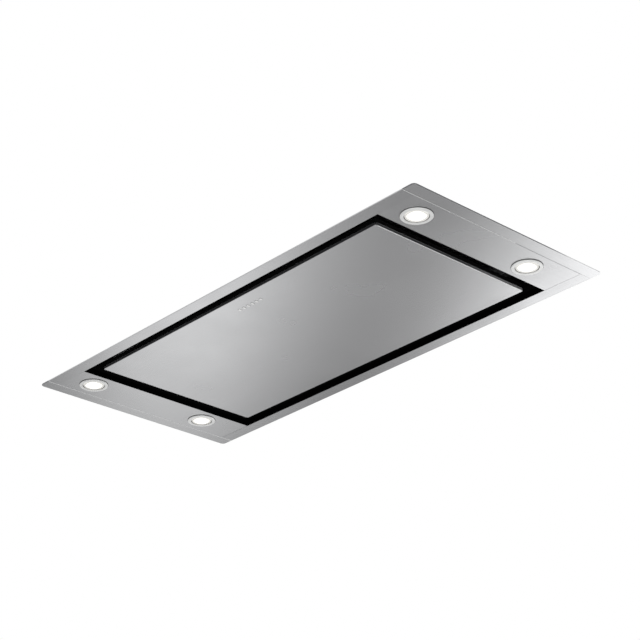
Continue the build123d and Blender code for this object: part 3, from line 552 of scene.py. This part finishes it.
def oblong(length, width, height):
    x, y = length / 2, width / 2
    return [(-x, -y, height), (x, -y, height), (x, y, height), (-x, y, height)]


def stacked(name, loops, top=None):
    """A closed piece from loops of as many points each, from its seat up; the top may be split."""
    count = len(loops[0])
    faces = [tuple(reversed(range(count)))]
    for level in range(len(loops) - 1):
        low, high = level * count, (level + 1) * count
        for i in range(count):
            j = (i + 1) % count
            faces.append((low + i, low + j, high + j, high + i))
    last = (len(loops) - 1) * count
    faces += [tuple(last + i for i in face) for face in top or [range(count)]]
    return linked(name, mesh_of(name, [point for loop in loops for point in loop], faces))


def screw_head(name, radius):
    """A pan head with a cross recess."""
    wide, slim = 0.46 * radius, 0.13 * radius
    half = [(wide, -slim), (wide, slim), (slim, slim), (slim, wide), (-slim, wide), (-slim, slim)]
    cross = half + [(-x, -y) for x, y in half]
    shape = ((1.0, 0.0), (1.0, 0.30), (0.86, 0.52), (0.62, 0.62))
    start = math.radians(-15)
    loops = [circle(share * radius, height * radius, len(cross), start) for share, height in shape]
    loops += [[(x, y, height * radius) for x, y in cross] for height in (0.64, 0.34)]
    recess_floor = [(11, 0, 1, 2), (2, 3, 4, 5), (5, 6, 7, 8), (8, 9, 10, 11), (2, 5, 8, 11)]
    return stacked(name, loops, recess_floor)


def rivet_head(name, radius):
    shape = ((1.0, 0.0), (0.94, 0.26), (0.66, 0.48), (0.28, 0.56))
    return stacked(name, [circle(share * radius, height * radius, 10) for share, height in shape])


def rib(name, length, width, height):
    """A bar along X with a sloped rim."""
    slope = min(height, width / 3)
    top = oblong(length - 2 * slope, width - 2 * slope, height)
    return stacked(name, [oblong(length, width, 0.0), oblong(length, width, height - slope / 2), top])


# ---------------------------------------------------------------- node groups that set them


def node_group(name, inputs):
    """An empty group with its named inputs, and its output of shapes."""
    group = bpy.data.node_groups.new(name, "GeometryNodeTree")
    for title, kind in inputs:
        group.interface.new_socket(title, in_out="INPUT", socket_type="NodeSocket" + kind)
    group.interface.new_socket("Shapes", in_out="OUTPUT", socket_type="NodeSocketGeometry")
    return group, group.nodes.new("NodeGroupInput"), group.nodes.new("NodeGroupOutput")


def realised(group, shapes, finish, out):
    """Make real meshes of the copies, give them their finish and hand them on."""
    real = group.nodes.new("GeometryNodeRealizeInstances")
    dressed = group.nodes.new("GeometryNodeSetMaterial")
    group.links.new(shapes, real.inputs["Geometry"])
    group.links.new(real.outputs["Geometry"], dressed.inputs["Geometry"])
    group.links.new(finish, dressed.inputs["Material"])
    group.links.new(dressed.outputs["Geometry"], out.inputs["Shapes"])


def copied(group, piece, points):
    """A copy of the piece that is handed in at every point."""
    info = group.nodes.new("GeometryNodeObjectInfo")
    info.inputs["As Instance"].default_value = True
    group.links.new(piece, info.inputs["Object"])
    copies = group.nodes.new("GeometryNodeInstanceOnPoints")
    group.links.new(points, copies.inputs["Points"])
    group.links.new(info.outputs["Geometry"], copies.inputs["Instance"])
    return copies


def copies_on_points():
    """A copy of a piece at every point: its Z along the point's aim, its X along the point's run."""
    group, given, out = node_group(
        "copies_on_points",
        (("Points", "Geometry"), ("Piece", "Object"), ("Spin", "Float"), ("Finish", "Material")),
    )
    nodes, link = group.nodes, group.links.new
    turned = None
    for title, axis, pivot in (("aim", "Z", "AUTO"), ("run", "X", "Z")):
        direction = nodes.new("GeometryNodeInputNamedAttribute")
        direction.data_type = "FLOAT_VECTOR"
        direction.inputs["Name"].default_value = title
        align = nodes.new("FunctionNodeAlignRotationToVector")
        align.axis = axis
        align.pivot_axis = pivot
        link(direction.outputs["Attribute"], align.inputs["Vector"])
        if turned:
            link(turned, align.inputs["Rotation"])
        turned = align.outputs["Rotation"]
    chance = nodes.new("FunctionNodeRandomValue")
    chance.inputs["Seed"].default_value = 7
    link(given.outputs["Spin"], chance.inputs[3])
    angle = nodes.new("FunctionNodeAxisAngleToRotation")
    link(chance.outputs[1], angle.inputs["Angle"])
    spun = nodes.new("FunctionNodeRotateRotation")
    spun.rotation_space = "LOCAL"
    link(turned, spun.inputs["Rotation"])
    link(angle.outputs["Rotation"], spun.inputs["Rotate By"])
    copies = copied(group, given.outputs["Piece"], given.outputs["Points"])
    link(spun.outputs["Rotation"], copies.inputs["Rotation"])
    realised(group, copies.outputs["Instances"], given.outputs["Finish"], out)
    return group


def strand_layers():
    """Two layers of expanded metal: a grid of diamond cells, and the same again higher up."""
    group, given, out = node_group(
        "strand_layers",
        (
            ("Points", "Geometry"),
            ("Cell", "Object"),
            ("Width", "Float"),
            ("Depth", "Float"),
            ("Columns", "Int"),
            ("Rows", "Int"),
            ("Middle", "Vector"),
            ("Rise", "Vector"),
            ("Finish", "Material"),
        ),
    )
    nodes, link = group.nodes, group.links.new
    grid = nodes.new("GeometryNodeMeshGrid")
    sockets = {"Width": "Size X", "Depth": "Size Y", "Columns": "Vertices X", "Rows": "Vertices Y"}
    for title, socket in sockets.items():
        link(given.outputs[title], grid.inputs[socket])
    copies = copied(group, given.outputs["Cell"], grid.outputs["Mesh"])
    lower = nodes.new("GeometryNodeTransform")
    link(given.outputs["Middle"], lower.inputs["Translation"])
    link(copies.outputs["Instances"], lower.inputs["Geometry"])
    upper = nodes.new("GeometryNodeTransform")
    link(given.outputs["Rise"], upper.inputs["Translation"])
    link(lower.outputs["Geometry"], upper.inputs["Geometry"])
    both = nodes.new("GeometryNodeJoinGeometry")
    link(upper.outputs["Geometry"], both.inputs["Geometry"])
    link(lower.outputs["Geometry"], both.inputs["Geometry"])
    realised(group, both.outputs["Geometry"], given.outputs["Finish"], out)
    return group


def grown(name, points, group, values, body):
    """Run a node group on some points and keep what it makes as one finished piece of a body."""
    holder = linked(name, points)
    modifier = holder.modifiers.new("growing", "NODES")
    modifier.node_group = group
    for socket in group.interface.items_tree:
        if socket.name in values:
            modifier[socket.identifier] = values[socket.name]
    graph = bpy.context.evaluated_depsgraph_get()
    mesh = bpy.data.meshes.new_from_object(holder.evaluated_get(graph))
    holder.modifiers.remove(modifier)
    holder.data = mesh
    mesh.name = name
    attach(holder, body)


COPIES = copies_on_points()
STRANDS = strand_layers()


def copies_of(piece, name, places, body, finish, spin=0.0):
    """Copies of a piece at places given as (point, aim) or (point, aim, run), in one mesh."""
    points = mesh_of(name + "_places", [place[0] for place in places])
    aims = points.attributes.new("aim", "FLOAT_VECTOR", "POINT")
    runs = points.attributes.new("run", "FLOAT_VECTOR", "POINT")
    for i, place in enumerate(places):
        aim = Vector(place[1]).normalized()
        aims.data[i].vector = aim
        runs.data[i].vector = place[2] if len(place) > 2 else aim.orthogonal()
    values = {"Piece": piece, "Spin": spin, "Finish": finishes[finish]}
    grown(name, points, COPIES, values, body)


def kept(name, points, faces, body, finish):
    """One finished piece of a body, from its points and faces."""
    made = linked(name, mesh_of(name, points, faces))
    made.data.materials.append(finishes[finish])
    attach(made, body)


def strips(name, boxes, body, finish):
    """Flat strips of sheet, each given as its low and high corners, in one mesh."""
    sides = ((0, 2, 3, 1), (4, 5, 7, 6), (0, 1, 5, 4), (1, 3, 7, 5), (3, 2, 6, 7), (2, 0, 4, 6))
    points = []
    faces = []
    for low, high in boxes:
        first = len(points)
        xs, ys, zs = zip(low, high)
        points += [(x, y, z) for z in zs for y in ys for x in xs]
        faces += [tuple(first + i for i in side) for side in sides]
    kept(name, points, faces, body, finish)


def rings(name, ring, sides, places, body, finish):
    """A flat ring, given as (inner radius, outer radius, low, high), at every place, in one mesh."""
    inner, outer, low, high = ring
    points = []
    faces = []
    for x, y in places:
        first = len(points)
        for radius, z in ((inner, low), (outer, low), (outer, high), (inner, high)):
            points += [(x + px, y + py, z) for px, py, _ in circle(radius, 0.0, sides)]
        for level in range(4):
            here, there = first + level * sides, first + (level + 1) % 4 * sides
            for i in range(sides):
                j = (i + 1) % sides
                faces.append((here + i, there + i, there + j, here + j))
    kept(name, points, faces, body, finish)


def screws(name, radius, places):
    """Screws of the housing, each turned its own way."""
    head = screw_head(name + "_head", radius)
    copies_of(head, name, places, "housing", "screw_zinc", math.tau)


def evenly(low, high, count):
    return [low + (high - low) * i / (count - 1) for i in range(count)]


UP, DOWN = (0.0, 0.0, 1.0), (0.0, 0.0, -1.0)
FRONT, REAR = (0.0, -1.0, 0.0), (0.0, 1.0, 0.0)
RIGHT = (1.0, 0.0, 0.0)
BOTH_WAYS = (-1, 1)


def outward(way, axis):
    """Straight out of the hood, either way (1 or -1) along axis 0 (X) or 1 (Y)."""
    return tuple(way if i == axis else 0.0 for i in range(3))


def span(way, start, end):
    """Two distances from the hood's middle, on one side of it, as low and high."""
    return sorted((way * start, way * end))


# ---------------------------------------------------------------- lights, frame and panel


def seal_lights():
    """Rubber seals, seen as a dark line between each bezel and its plate, and round each lens.
    These dark rings also stand in for the shade at these joints: painted shade.
    """
    seal = (BEZEL_RADIUS + 0.05 * MM, BEZEL_RADIUS + 0.45 * MM, PLATE_FACE - 0.7 * MM, PLATE_FACE)
    rings("light_seals", seal, 64, LIGHT_PLACES, "housing", "soft_rubber")
    seal = (LENS_RADIUS + 0.02 * MM, LENS_RADIUS + 0.98 * MM, -2.7 * MM, -1.4 * MM)
    rings("lens_seals", seal, 64, LIGHT_PLACES, "housing", "soft_rubber")


HEM = 0.6 * MM


def hem_frame():
    """The frame ends' inner edges are folded over in a fine hem, the right one's only partly.
    The hem's pale colour is a painted highlight.
    """
    inner, end, right_hem_end = FRAME_LOW.x, FRAME_HIGH.y - SHEET_EDGE, 40.0 * MM
    low, high = PLATE_FACE - 0.2 * MM, PLATE_FACE + HEM
    hems = [
        ((-inner - 0.3 * MM, -end, low), (-inner + HEM, end, high)),
        ((inner - 0.5 * MM, -end, low), (inner, right_hem_end, high)),
    ]
    strips("frame_hems", hems, "housing", "pale_hem_highlight")


def close_plates():
    """The plates' near edges meet the rail without a gap."""
    edge, low, high = -SLOT_Y + 0.55 * MM, PLATE_FACE - 0.02 * MM, PLATE_FACE + HEM
    meetings = []
    for way in BOTH_WAYS:
        left, right = span(way, SLOT_X, FRAME_LOW.x - HEM)
        meetings.append(((left, -SLOT_Y, low), (right, edge, high)))
    strips("plate_meetings", meetings, "housing", "seam_steel")


def hem_panel():
    """The panel's end rims are hemmed: a dull bead on their upper edge and a pale one on their bend.
    The pale bead on the bend is a painted highlight.
    """
    length = SKIN_HIGH.y * 2 - 10 * MM
    bead = rib("hem_bead", length, 1.0 * MM, 0.4 * MM)
    z = SKIN_HIGH.z - 0.7 * MM
    places = [((way * SKIN_HIGH.x, 0.0, z), outward(way, 0), REAR) for way in BOTH_WAYS]
    copies_of(bead, "panel_end_hems", places, "panel", "dull_hem")
    bead = rib("bend_bead", length, 1.3 * MM, 0.3 * MM)
    x, z = SKIN_HIGH.x - 0.35 * MM, SKIN_LOW.z + 0.35 * MM
    places = [((way * x, 0.0, z), (way, 0.0, -1.0), REAR) for way in BOTH_WAYS]
    copies_of(bead, "panel_bend_beads", places, "panel", "bend_highlight_steel")


def dress_backing():
    """Rivets hold the hinge arms on the panel's backing, and pressed beads stiffen it."""
    rivet = rivet_head("arm_rivet", 2.6 * MM)
    seat = BACKING_HIGH.z + 2.0 * MM
    places = []
    for arm_x in (-0.330, 0.330):
        for from_arm in (-17 * MM, 17 * MM):
            for y in (146 * MM, 172 * MM):
                places.append(((arm_x + from_arm, y, seat), UP))
    copies_of(rivet, "hinge_arm_rivets", places, "panel", "spring_steel")
    bead = rib("backing_bead", 620 * MM, 9.0 * MM, 1.2 * MM)
    places = [((0.0, y, BACKING_HIGH.z), UP, RIGHT) for y in (-0.110, -0.045, 0.020, 0.085)]
    copies_of(bead, "backing_beads", places, "panel", "backing_coat")


# ---------------------------------------------------------------- filters

STRAND_ACROSS, STRAND_ALONG = 8.5 * MM, 6.0 * MM


def strand_cell(name):
    """One diamond of expanded metal: four flat strands between its corners, twisted a little."""
    x, y, twist = STRAND_ACROSS / 2, STRAND_ALONG / 2, 0.25 * MM
    places = (-x, 0, twist), (0, -y, -twist), (x, 0, twist), (0, y, -twist)
    corners = [Vector(place) for place in places]
    half_width, half_height = 0.38 * MM, 0.22 * MM
    lift = Vector((0.0, 0.0, half_height))
    points = []
    faces = []
    for i, corner in enumerate(corners):
        end = corners[(i + 1) % 4]
        run = Vector((end.x - corner.x, end.y - corner.y, 0.0)).normalized()
        side = Vector((-run.y, run.x, 0.0)) * half_width
        first = len(points)
        for middle in (corner, end):
            points += [middle + a * side + b * lift for a, b in ((-1, -1), (1, -1), (1, 1), (-1, 1))]
        for k in range(4):
            m = (k + 1) % 4
            faces.append((first + k, first + 4 + k, first + 4 + m, first + m))
    return linked(name, mesh_of(name, [tuple(point) for point in points], faces))


def cover_pad(number, cell):
    """Expanded metal under and over a filter's pad, a little clear of it."""
    low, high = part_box(f"filter_mesh_{number}")
    clear = 0.6 * MM
    columns = int((high.x - low.x) / STRAND_ACROSS)
    rows = int((high.y - low.y) / STRAND_ALONG)
    values = {
        "Cell": cell,
        "Width": (columns - 1) * STRAND_ACROSS,
        "Depth": (rows - 1) * STRAND_ALONG,
        "Columns": columns,
        "Rows": rows,
        "Middle": ((low.x + high.x) / 2, (low.y + high.y) / 2, low.z - clear),
        "Rise": (0.0, 0.0, high.z - low.z + 2 * clear),
        "Finish": finishes["strand_aluminium"],
    }
    nothing = bpy.data.meshes.new(f"filter_{number}_start")
    grown(f"filter_strands_{number}", nothing, STRANDS, values, "housing")


def rivet_filter(number, rivet):
    """A rivet in each corner of a filter's frame."""
    low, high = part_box(f"filter_frame_{number}")
    seat, from_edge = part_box(f"filter_mesh_{number}")[0].z - 2 * MM, 6 * MM
    xs, ys = (low.x + from_edge, high.x - from_edge), (low.y + from_edge, high.y - from_edge)
    places = [((x, y, seat), DOWN) for x in xs for y in ys]
    copies_of(rivet, f"filter_rivets_{number}", places, "housing", "strand_aluminium")


def grip_latch(number, grip):
    """Grips on both faces of a latch's finger tab."""
    low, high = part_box(f"filter_latch_{number}")
    tab, middle = 3 * MM, (low.x + high.x) / 2
    heights = evenly(low.z + 2.5 * MM, low.z + 9.0 * MM, 3)
    places = [((middle, high.y - tab, z), FRONT, RIGHT) for z in heights]
    places += [((middle, high.y, z), REAR, RIGHT) for z in heights]
    name, body = f"latch_grips_{number}", f"latch_{number}"
    copies_of(grip, name, places, body, "latch_plastic")


def dress_filters():
    cell = strand_cell("strand_cell")
    rivet = rivet_head("frame_rivet", 2.4 * MM)
    grip = rib("latch_grip", 26 * MM, 1.4 * MM, 0.7 * MM)
    for number in FILTERS:
        cover_pad(number, cell)
        rivet_filter(number, rivet)
        grip_latch(number, grip)


# ---------------------------------------------------------------- housing

LAP = 14.0 * MM
LAP_FOOT = 14.0 * MM
LAP_SHEET = 0.6 * MM
LAP_FACE_X, LAP_FACE_Y = WALLS_HIGH.x + LAP_SHEET, WALLS_HIGH.y + LAP_SHEET


def lap_housing():
    """Laps of sheet run up the housing's corners and round its cover's turned-down edge."""
    x, y, top = WALLS_HIGH.x, WALLS_HIGH.y, COVER_HIGH.z
    laps = []
    for way_x in BOTH_WAYS:
        for way_y in BOTH_WAYS:
            for wide_x, wide_y in ((-LAP, LAP_SHEET), (LAP_SHEET, -LAP)):
                left, right = span(way_x, x, x + wide_x)
                front, rear = span(way_y, y, y + wide_y)
                laps.append(((left, front, LAP_FOOT), (right, rear, top - LAP)))
    for way in BOTH_WAYS:
        front, rear = span(way, y, LAP_FACE_Y)
        laps.append(((-LAP_FACE_X, front, top - LAP), (LAP_FACE_X, rear, top)))
        left, right = span(way, x, LAP_FACE_X)
        laps.append(((left, -y, top - LAP), (right, y, top)))
    strips("housing_laps", laps, "housing", "zinc_sheet")


def rivet_laps():
    """Rivets up the corner laps."""
    x, y = WALLS_HIGH.x - LAP / 2, WALLS_HIGH.y - LAP / 2
    places = []
    for way_x in BOTH_WAYS:
        for way_y in BOTH_WAYS:
            for z in evenly(30 * MM, 265 * MM, 6):
                places.append(((way_x * x, way_y * LAP_FACE_Y, z), outward(way_y, 1)))
                places.append(((way_x * LAP_FACE_X, way_y * y, z), outward(way_x, 0)))
    rivet = rivet_head("wall_rivet", 2.6 * MM)
    copies_of(rivet, "wall_rivets", places, "housing", "screw_zinc")


def screw_cover():
    """Screws round the cover's turned-down edge."""
    z = COVER_HIGH.z - LAP / 2
    places = []
    for way in BOTH_WAYS:
        places += [((x, way * LAP_FACE_Y, z), outward(way, 1)) for x in evenly(-0.480, 0.480, 9)]
        places += [((way * LAP_FACE_X, y, z), outward(way, 0)) for y in evenly(-0.180, 0.180, 4)]
    screws("cover_screws", 3.6 * MM, places)


def press_beads():
    """Pressed beads stiffen the walls and the cover."""
    heights = evenly(80 * MM, 230 * MM, 3)
    cover_x, cover_y = 0.510, 0.212
    x, y, top = WALLS_HIGH.x, WALLS_HIGH.y, COVER_HIGH.z
    places = [((0.0, way * y, z), outward(way, 1), RIGHT) for way in BOTH_WAYS for z in heights]
    places += [((0.0, way * cover_y, top), UP, RIGHT) for way in BOTH_WAYS]
    bead = rib("long_bead", 900 * MM, 8.0 * MM, 1.4 * MM)
    copies_of(bead, "long_beads", places, "housing", "zinc_sheet")
    places = [((way * x, 0.0, z), outward(way, 0), REAR) for way in BOTH_WAYS for z in heights]
    places += [((way * cover_x, 0.0, top), UP, REAR) for way in BOTH_WAYS]
    bead = rib("short_bead", 340 * MM, 8.0 * MM, 1.4 * MM)
    copies_of(bead, "short_beads", places, "housing", "zinc_sheet")


# ---------------------------------------------------------------- collar, hangers and electrics


def screw_collar():
    """Eight screws in the collar's flange."""
    far, seat = 82 * MM, COLLAR_FLANGE_TOP
    places = [((x, y, seat), UP) for x in (-far, 0.0, far) for y in (-far, far)]
    places += [((x, 0.0, seat), UP) for x in (-far, far)]
    screws("collar_screws", 3.4 * MM, places)


def screw_hangers():
    """Two screws in the foot of each suspension bracket."""
    seat = COVER_HIGH.z + 2 * MM
    places = []
    for x, y in HANGER_PLACES:
        inner_y = y - math.copysign(27 * MM, y)
        places += [((x + aside, inner_y, seat), UP) for aside in (-12 * MM, 12 * MM)]
    screws("hanger_screws", 4.0 * MM, places)


def dress_lid():
    """Screws in the sides of the electrics box's lid, and beads across its top."""
    places = []
    for x in (LID_LOW.x + 12 * MM, LID_HIGH.x - 12 * MM):
        for way in BOTH_WAYS:
            places.append(((x, way * LID_HIGH.y, LID_HIGH.z - 4.5 * MM), outward(way, 1)))
    screws("lid_screws", 2.6 * MM, places)
    bead = rib("lid_bead", 120 * MM, 6.0 * MM, 1.0 * MM)
    middle = (LID_LOW.x + LID_HIGH.x) / 2
    places = [((middle, y, LID_HIGH.z), UP, RIGHT) for y in (-0.030, 0.0, 0.030)]
    copies_of(bead, "lid_beads", places, "housing", "zinc_bracket")


def grip_gland():
    """Grip ribs round the cable gland's nut."""
    x, z = GLAND_HIGH.x - 8.0 * MM, (GLAND_LOW.z + GLAND_HIGH.z) / 2
    radius, count = 9.5 * MM, 18
    places = []
    for i in range(count):
        turn = math.tau * i / count
        aim = (0.0, math.cos(turn), math.sin(turn))
        places.append(((x, radius * aim[1], z + radius * aim[2]), aim, RIGHT))
    grip = rib("gland_grip", 9 * MM, 1.2 * MM, 0.7 * MM)
    copies_of(grip, "gland_grips", places, "housing", "black_plastic")


def rib_flaps():
    """Moulded ribs across each flap, from its pin to near its rim."""
    flap_radius, from_rim, from_pin = 72.5 * MM, 6 * MM, 10 * MM
    for side, way in (("front", -1), ("rear", 1)):
        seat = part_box(f"damper_flap_{side}")[1].z - 2.0 * MM
        for number, x in enumerate(evenly(-48 * MM, 48 * MM, 5), start=1):
            reach = math.sqrt(flap_radius**2 - x**2) - from_rim
            bar = rib(f"flap_rib_{side}_{number}", reach - from_pin, 1.6 * MM, 0.9 * MM)
            places = [((x, way * (reach + from_pin) / 2, seat), UP, REAR)]
            name, body = f"flap_{side}_rib_{number}", f"damper_{side}"
            copies_of(bar, name, places, body, "black_plastic")


def bead_collar():
    """Raised beads round the collar."""
    for number, z in enumerate((345 * MM, 350 * MM, 372 * MM), start=1):
        bead = (COLLAR_RADIUS, COLLAR_RADIUS + 0.7 * MM, z - 0.8 * MM, z + 0.8 * MM)
        name = f"collar_bead_{number}"
        rings(name, bead, 96, [(0.0, 0.0)], "housing", "black_plastic")


seal_lights()
hem_frame()
close_plates()
hem_panel()
dress_backing()
dress_filters()
lap_housing()
rivet_laps()
screw_cover()
press_beads()
screw_collar()
screw_hangers()
dress_lid()
grip_gland()
rib_flaps()
bead_collar()
for piece in list(bpy.data.objects):
    if piece.type == "MESH" and not piece.data.materials:
        # This is one of the small pieces that were copied.
        bpy.data.objects.remove(piece)

# ---------------------------------------------------------------- camera, stage and light


def aimed(place, aim):
    """How a camera or a lamp stands at a place, looking at another."""
    turn = (Vector(aim) - Vector(place)).to_track_quat("-Z", "Y").to_matrix().to_4x4()
    return Matrix.Translation(place) @ turn


def place_camera():
    """The photograph's view: from below, off the hood's near right corner."""
    lens = bpy.data.cameras.new("camera")
    lens.sensor_width = 36.0
    lens.lens = 99.26
    lens.clip_end = 200.0
    camera = linked("camera", lens)
    roll = Matrix.Rotation(math.radians(-1.06), 4, "Z")
    camera.matrix_world = aimed(CAMERA_PLACE, (0.0615, -0.0155, -0.0017)) @ roll
    bpy.context.scene.camera = camera


def plain_sheet(name, corners, hole=()):
    """A flat sheet of the stage from its corners; a hole is a loop of as many corners."""
    count = len(corners)
    if hole:
        steps = [(i, (i + 1) % count) for i in range(count)]
        faces = [(i, j, count + j, count + i) for i, j in steps]
    else:
        faces = [tuple(range(count))]
    sheet = linked(name, mesh_of(name, [*corners, *hole], faces))
    return sheet


def rectangle(x, y, z):
    return [(-x, -y, z), (x, -y, z), (x, y, z), (-x, y, z)]


def stage_material(name):
    """A new material for the stage: the material, its tree, and the socket for its look."""
    material = bpy.data.materials.new(name)
    material.use_nodes = True
    tree = material.node_tree
    tree.nodes.clear()
    return material, tree, tree.nodes.new("ShaderNodeOutputMaterial").inputs["Surface"]


def mixed(tree, share, first, second):
    """Two shaders mixed by a share."""
    mix = tree.nodes.new("ShaderNodeMixShader")
    for number, source in enumerate((share, first, second)):
        tree.links.new(source, mix.inputs[number])
    return mix.outputs[0]


def one_sided(name, shader_kind, brightness, camera_only=False):
    """A stage material that is clear from behind, and clear to all but the camera if asked."""
    material, tree, surface = stage_material(name)
    shown = tree.nodes.new(shader_kind)
    shown.inputs["Color"].default_value = (brightness, brightness, brightness, 1.0)
    clear = tree.nodes.new("ShaderNodeBsdfTransparent")
    hidden = tree.nodes.new("ShaderNodeNewGeometry").outputs["Backfacing"]
    if camera_only:
        seen = tree.nodes.new("ShaderNodeLightPath").outputs["Is Camera Ray"]
        hidden = reckon(tree, "MAXIMUM", reckon(tree, "SUBTRACT", 1.0, seen), hidden)
    tree.links.new(mixed(tree, hidden, shown.outputs[0], clear.outputs[0]), surface)
    return material


def set_stage():
    # The ceiling board faces down, and is seen only from the room below.
    outer = rectangle(1.9, 1.6, 0.0)
    inner = rectangle(0.540, 0.240, 0.0)
    board = plain_sheet("ceiling_board", outer[::-1], inner[::-1])
    board.data.materials.append(one_sided("ceiling_white", "ShaderNodeEmission", 1.0, camera_only=True))
    floor = plain_sheet("floor", rectangle(60.0, 60.0, -2.4))
    floor.data.materials.append(one_sided("pale_floor", "ShaderNodeBsdfDiffuse", 0.86))


def set_world():
    """White for the camera, for mirrored and for passing rays, and a soft grey light for all else."""
    world = bpy.data.worlds.new("studio")
    world.use_nodes = True
    tree = world.node_tree
    tree.nodes.clear()
    out = tree.nodes.new("ShaderNodeOutputWorld")
    lights = []
    for colour, strength in (((0.98, 0.99, 1.0, 1.0), 0.55), ((1.0, 1.0, 1.0, 1.0), 1.0)):
        light = tree.nodes.new("ShaderNodeBackground")
        light.inputs["Color"].default_value = colour
        light.inputs["Strength"].default_value = strength
        lights.append(light.outputs[0])
    path = tree.nodes.new("ShaderNodeLightPath").outputs
    white = reckon(tree, "MAXIMUM", path["Is Camera Ray"], path["Is Glossy Ray"])
    white = reckon(tree, "MAXIMUM", white, path["Is Transmission Ray"])
    tree.links.new(mixed(tree, white, *lights), out.inputs["Surface"])
    bpy.context.scene.world = world


# The studio's shaded card: what the steel reflects, from the picture's left to its right,
# as (place on the hood in metres, brightness).
CARD_HALF = 1.9
CARD_DROP = 0.80
CARD_REACH = 0.60
CARD_TURN = math.radians(56.2)
CARD_BRIGHTEST = 2.5
CARD_TONES = [
    (-0.60, 0.34),
    (-0.44, 0.66),
    (-0.31, 1.06),
    (-0.19, 1.07),
    (-0.04, 0.65),
    (0.12, 0.38),
    (0.23, 0.46),
    (0.40, 1.31),
    (0.60, 1.95),
]
# It darkens toward the near right and the far left corners, as (place, share of the brightness).
CARD_FALL = [(-0.60, 0.75), (-0.42, 1.04), (-0.04, 1.05), (0.41, 0.74), (0.60, 0.52)]


def toned(tree, place, tones):
    """A curve of tones along one way of the card, each at its place on the hood in metres."""
    # The card lies further from the mirrored camera than the hood does, so places spread on it.
    reach = CARD_REACH * (1.0 - CARD_DROP / CAMERA_PLACE.z)
    across = spread(tree, place, -reach, reach, 0.0, 1.0)
    points = [((x / CARD_REACH + 1.0) / 2, tone) for x, tone in tones]
    return curved(tree, across, points, CARD_BRIGHTEST)


def hang_card():
    """A big soft-box below the hood that only its steel sees, dark in the middle."""
    card = plain_sheet("shaded_card", rectangle(CARD_HALF, CARD_HALF, 0.0))
    # Where the camera's view of the hood's middle falls on the card, once mirrored.
    middle = CAMERA_PLACE * (CARD_DROP / CAMERA_PLACE.z)
    turn = Matrix.Rotation(CARD_TURN, 4, "Z")
    card.matrix_world = Matrix.Translation((middle.x, middle.y, -CARD_DROP)) @ turn
    material, tree, surface = stage_material("card_tones")
    glow = tree.nodes.new("ShaderNodeEmission")
    axes = object_axes(tree)
    tone = toned(tree, axes["X"], CARD_TONES)
    fall = toned(tree, axes["Y"], CARD_FALL)
    # Each curve gives a share of the greatest brightness.
    strength = reckon(tree, "MULTIPLY", reckon(tree, "MULTIPLY", tone, fall), CARD_BRIGHTEST**2)
    tree.links.new(strength, glow.inputs["Strength"])
    tree.links.new(glow.outputs[0], surface)
    card.data.materials.append(material)
    card.visible_camera = False
    card.visible_diffuse = False
    card.visible_shadow = False
    card.visible_transmission = False


def hang_lamp(name, place, aim, size, power):
    """A soft lamp that neither the camera nor the steel sees; its power is in watts."""
    lamp = bpy.data.lights.new(name, "AREA")
    lamp.shape = "RECTANGLE"
    lamp.size, lamp.size_y = size
    lamp.energy = power
    holder = linked(name, lamp)
    holder.matrix_world = aimed(place, aim)
    holder.visible_glossy = False
    holder.visible_camera = False


place_camera()
set_stage()
set_world()
hang_card()
hang_lamp("soft_from_room", (1.6, -1.8, -1.9), (0.0, 0.0, 0.0), (1.8, 1.4), 38.0)
hang_lamp("soft_from_above", (-1.2, -1.4, 2.4), (0.0, 0.0, 0.2), (2.0, 2.0), 55.0)
hang_lamp("fill_from_behind", (1.8, 2.2, 1.4), (0.0, 0.0, 0.2), (1.6, 1.6), 28.0)

bpy.context.scene.view_settings.view_transform = "Standard"
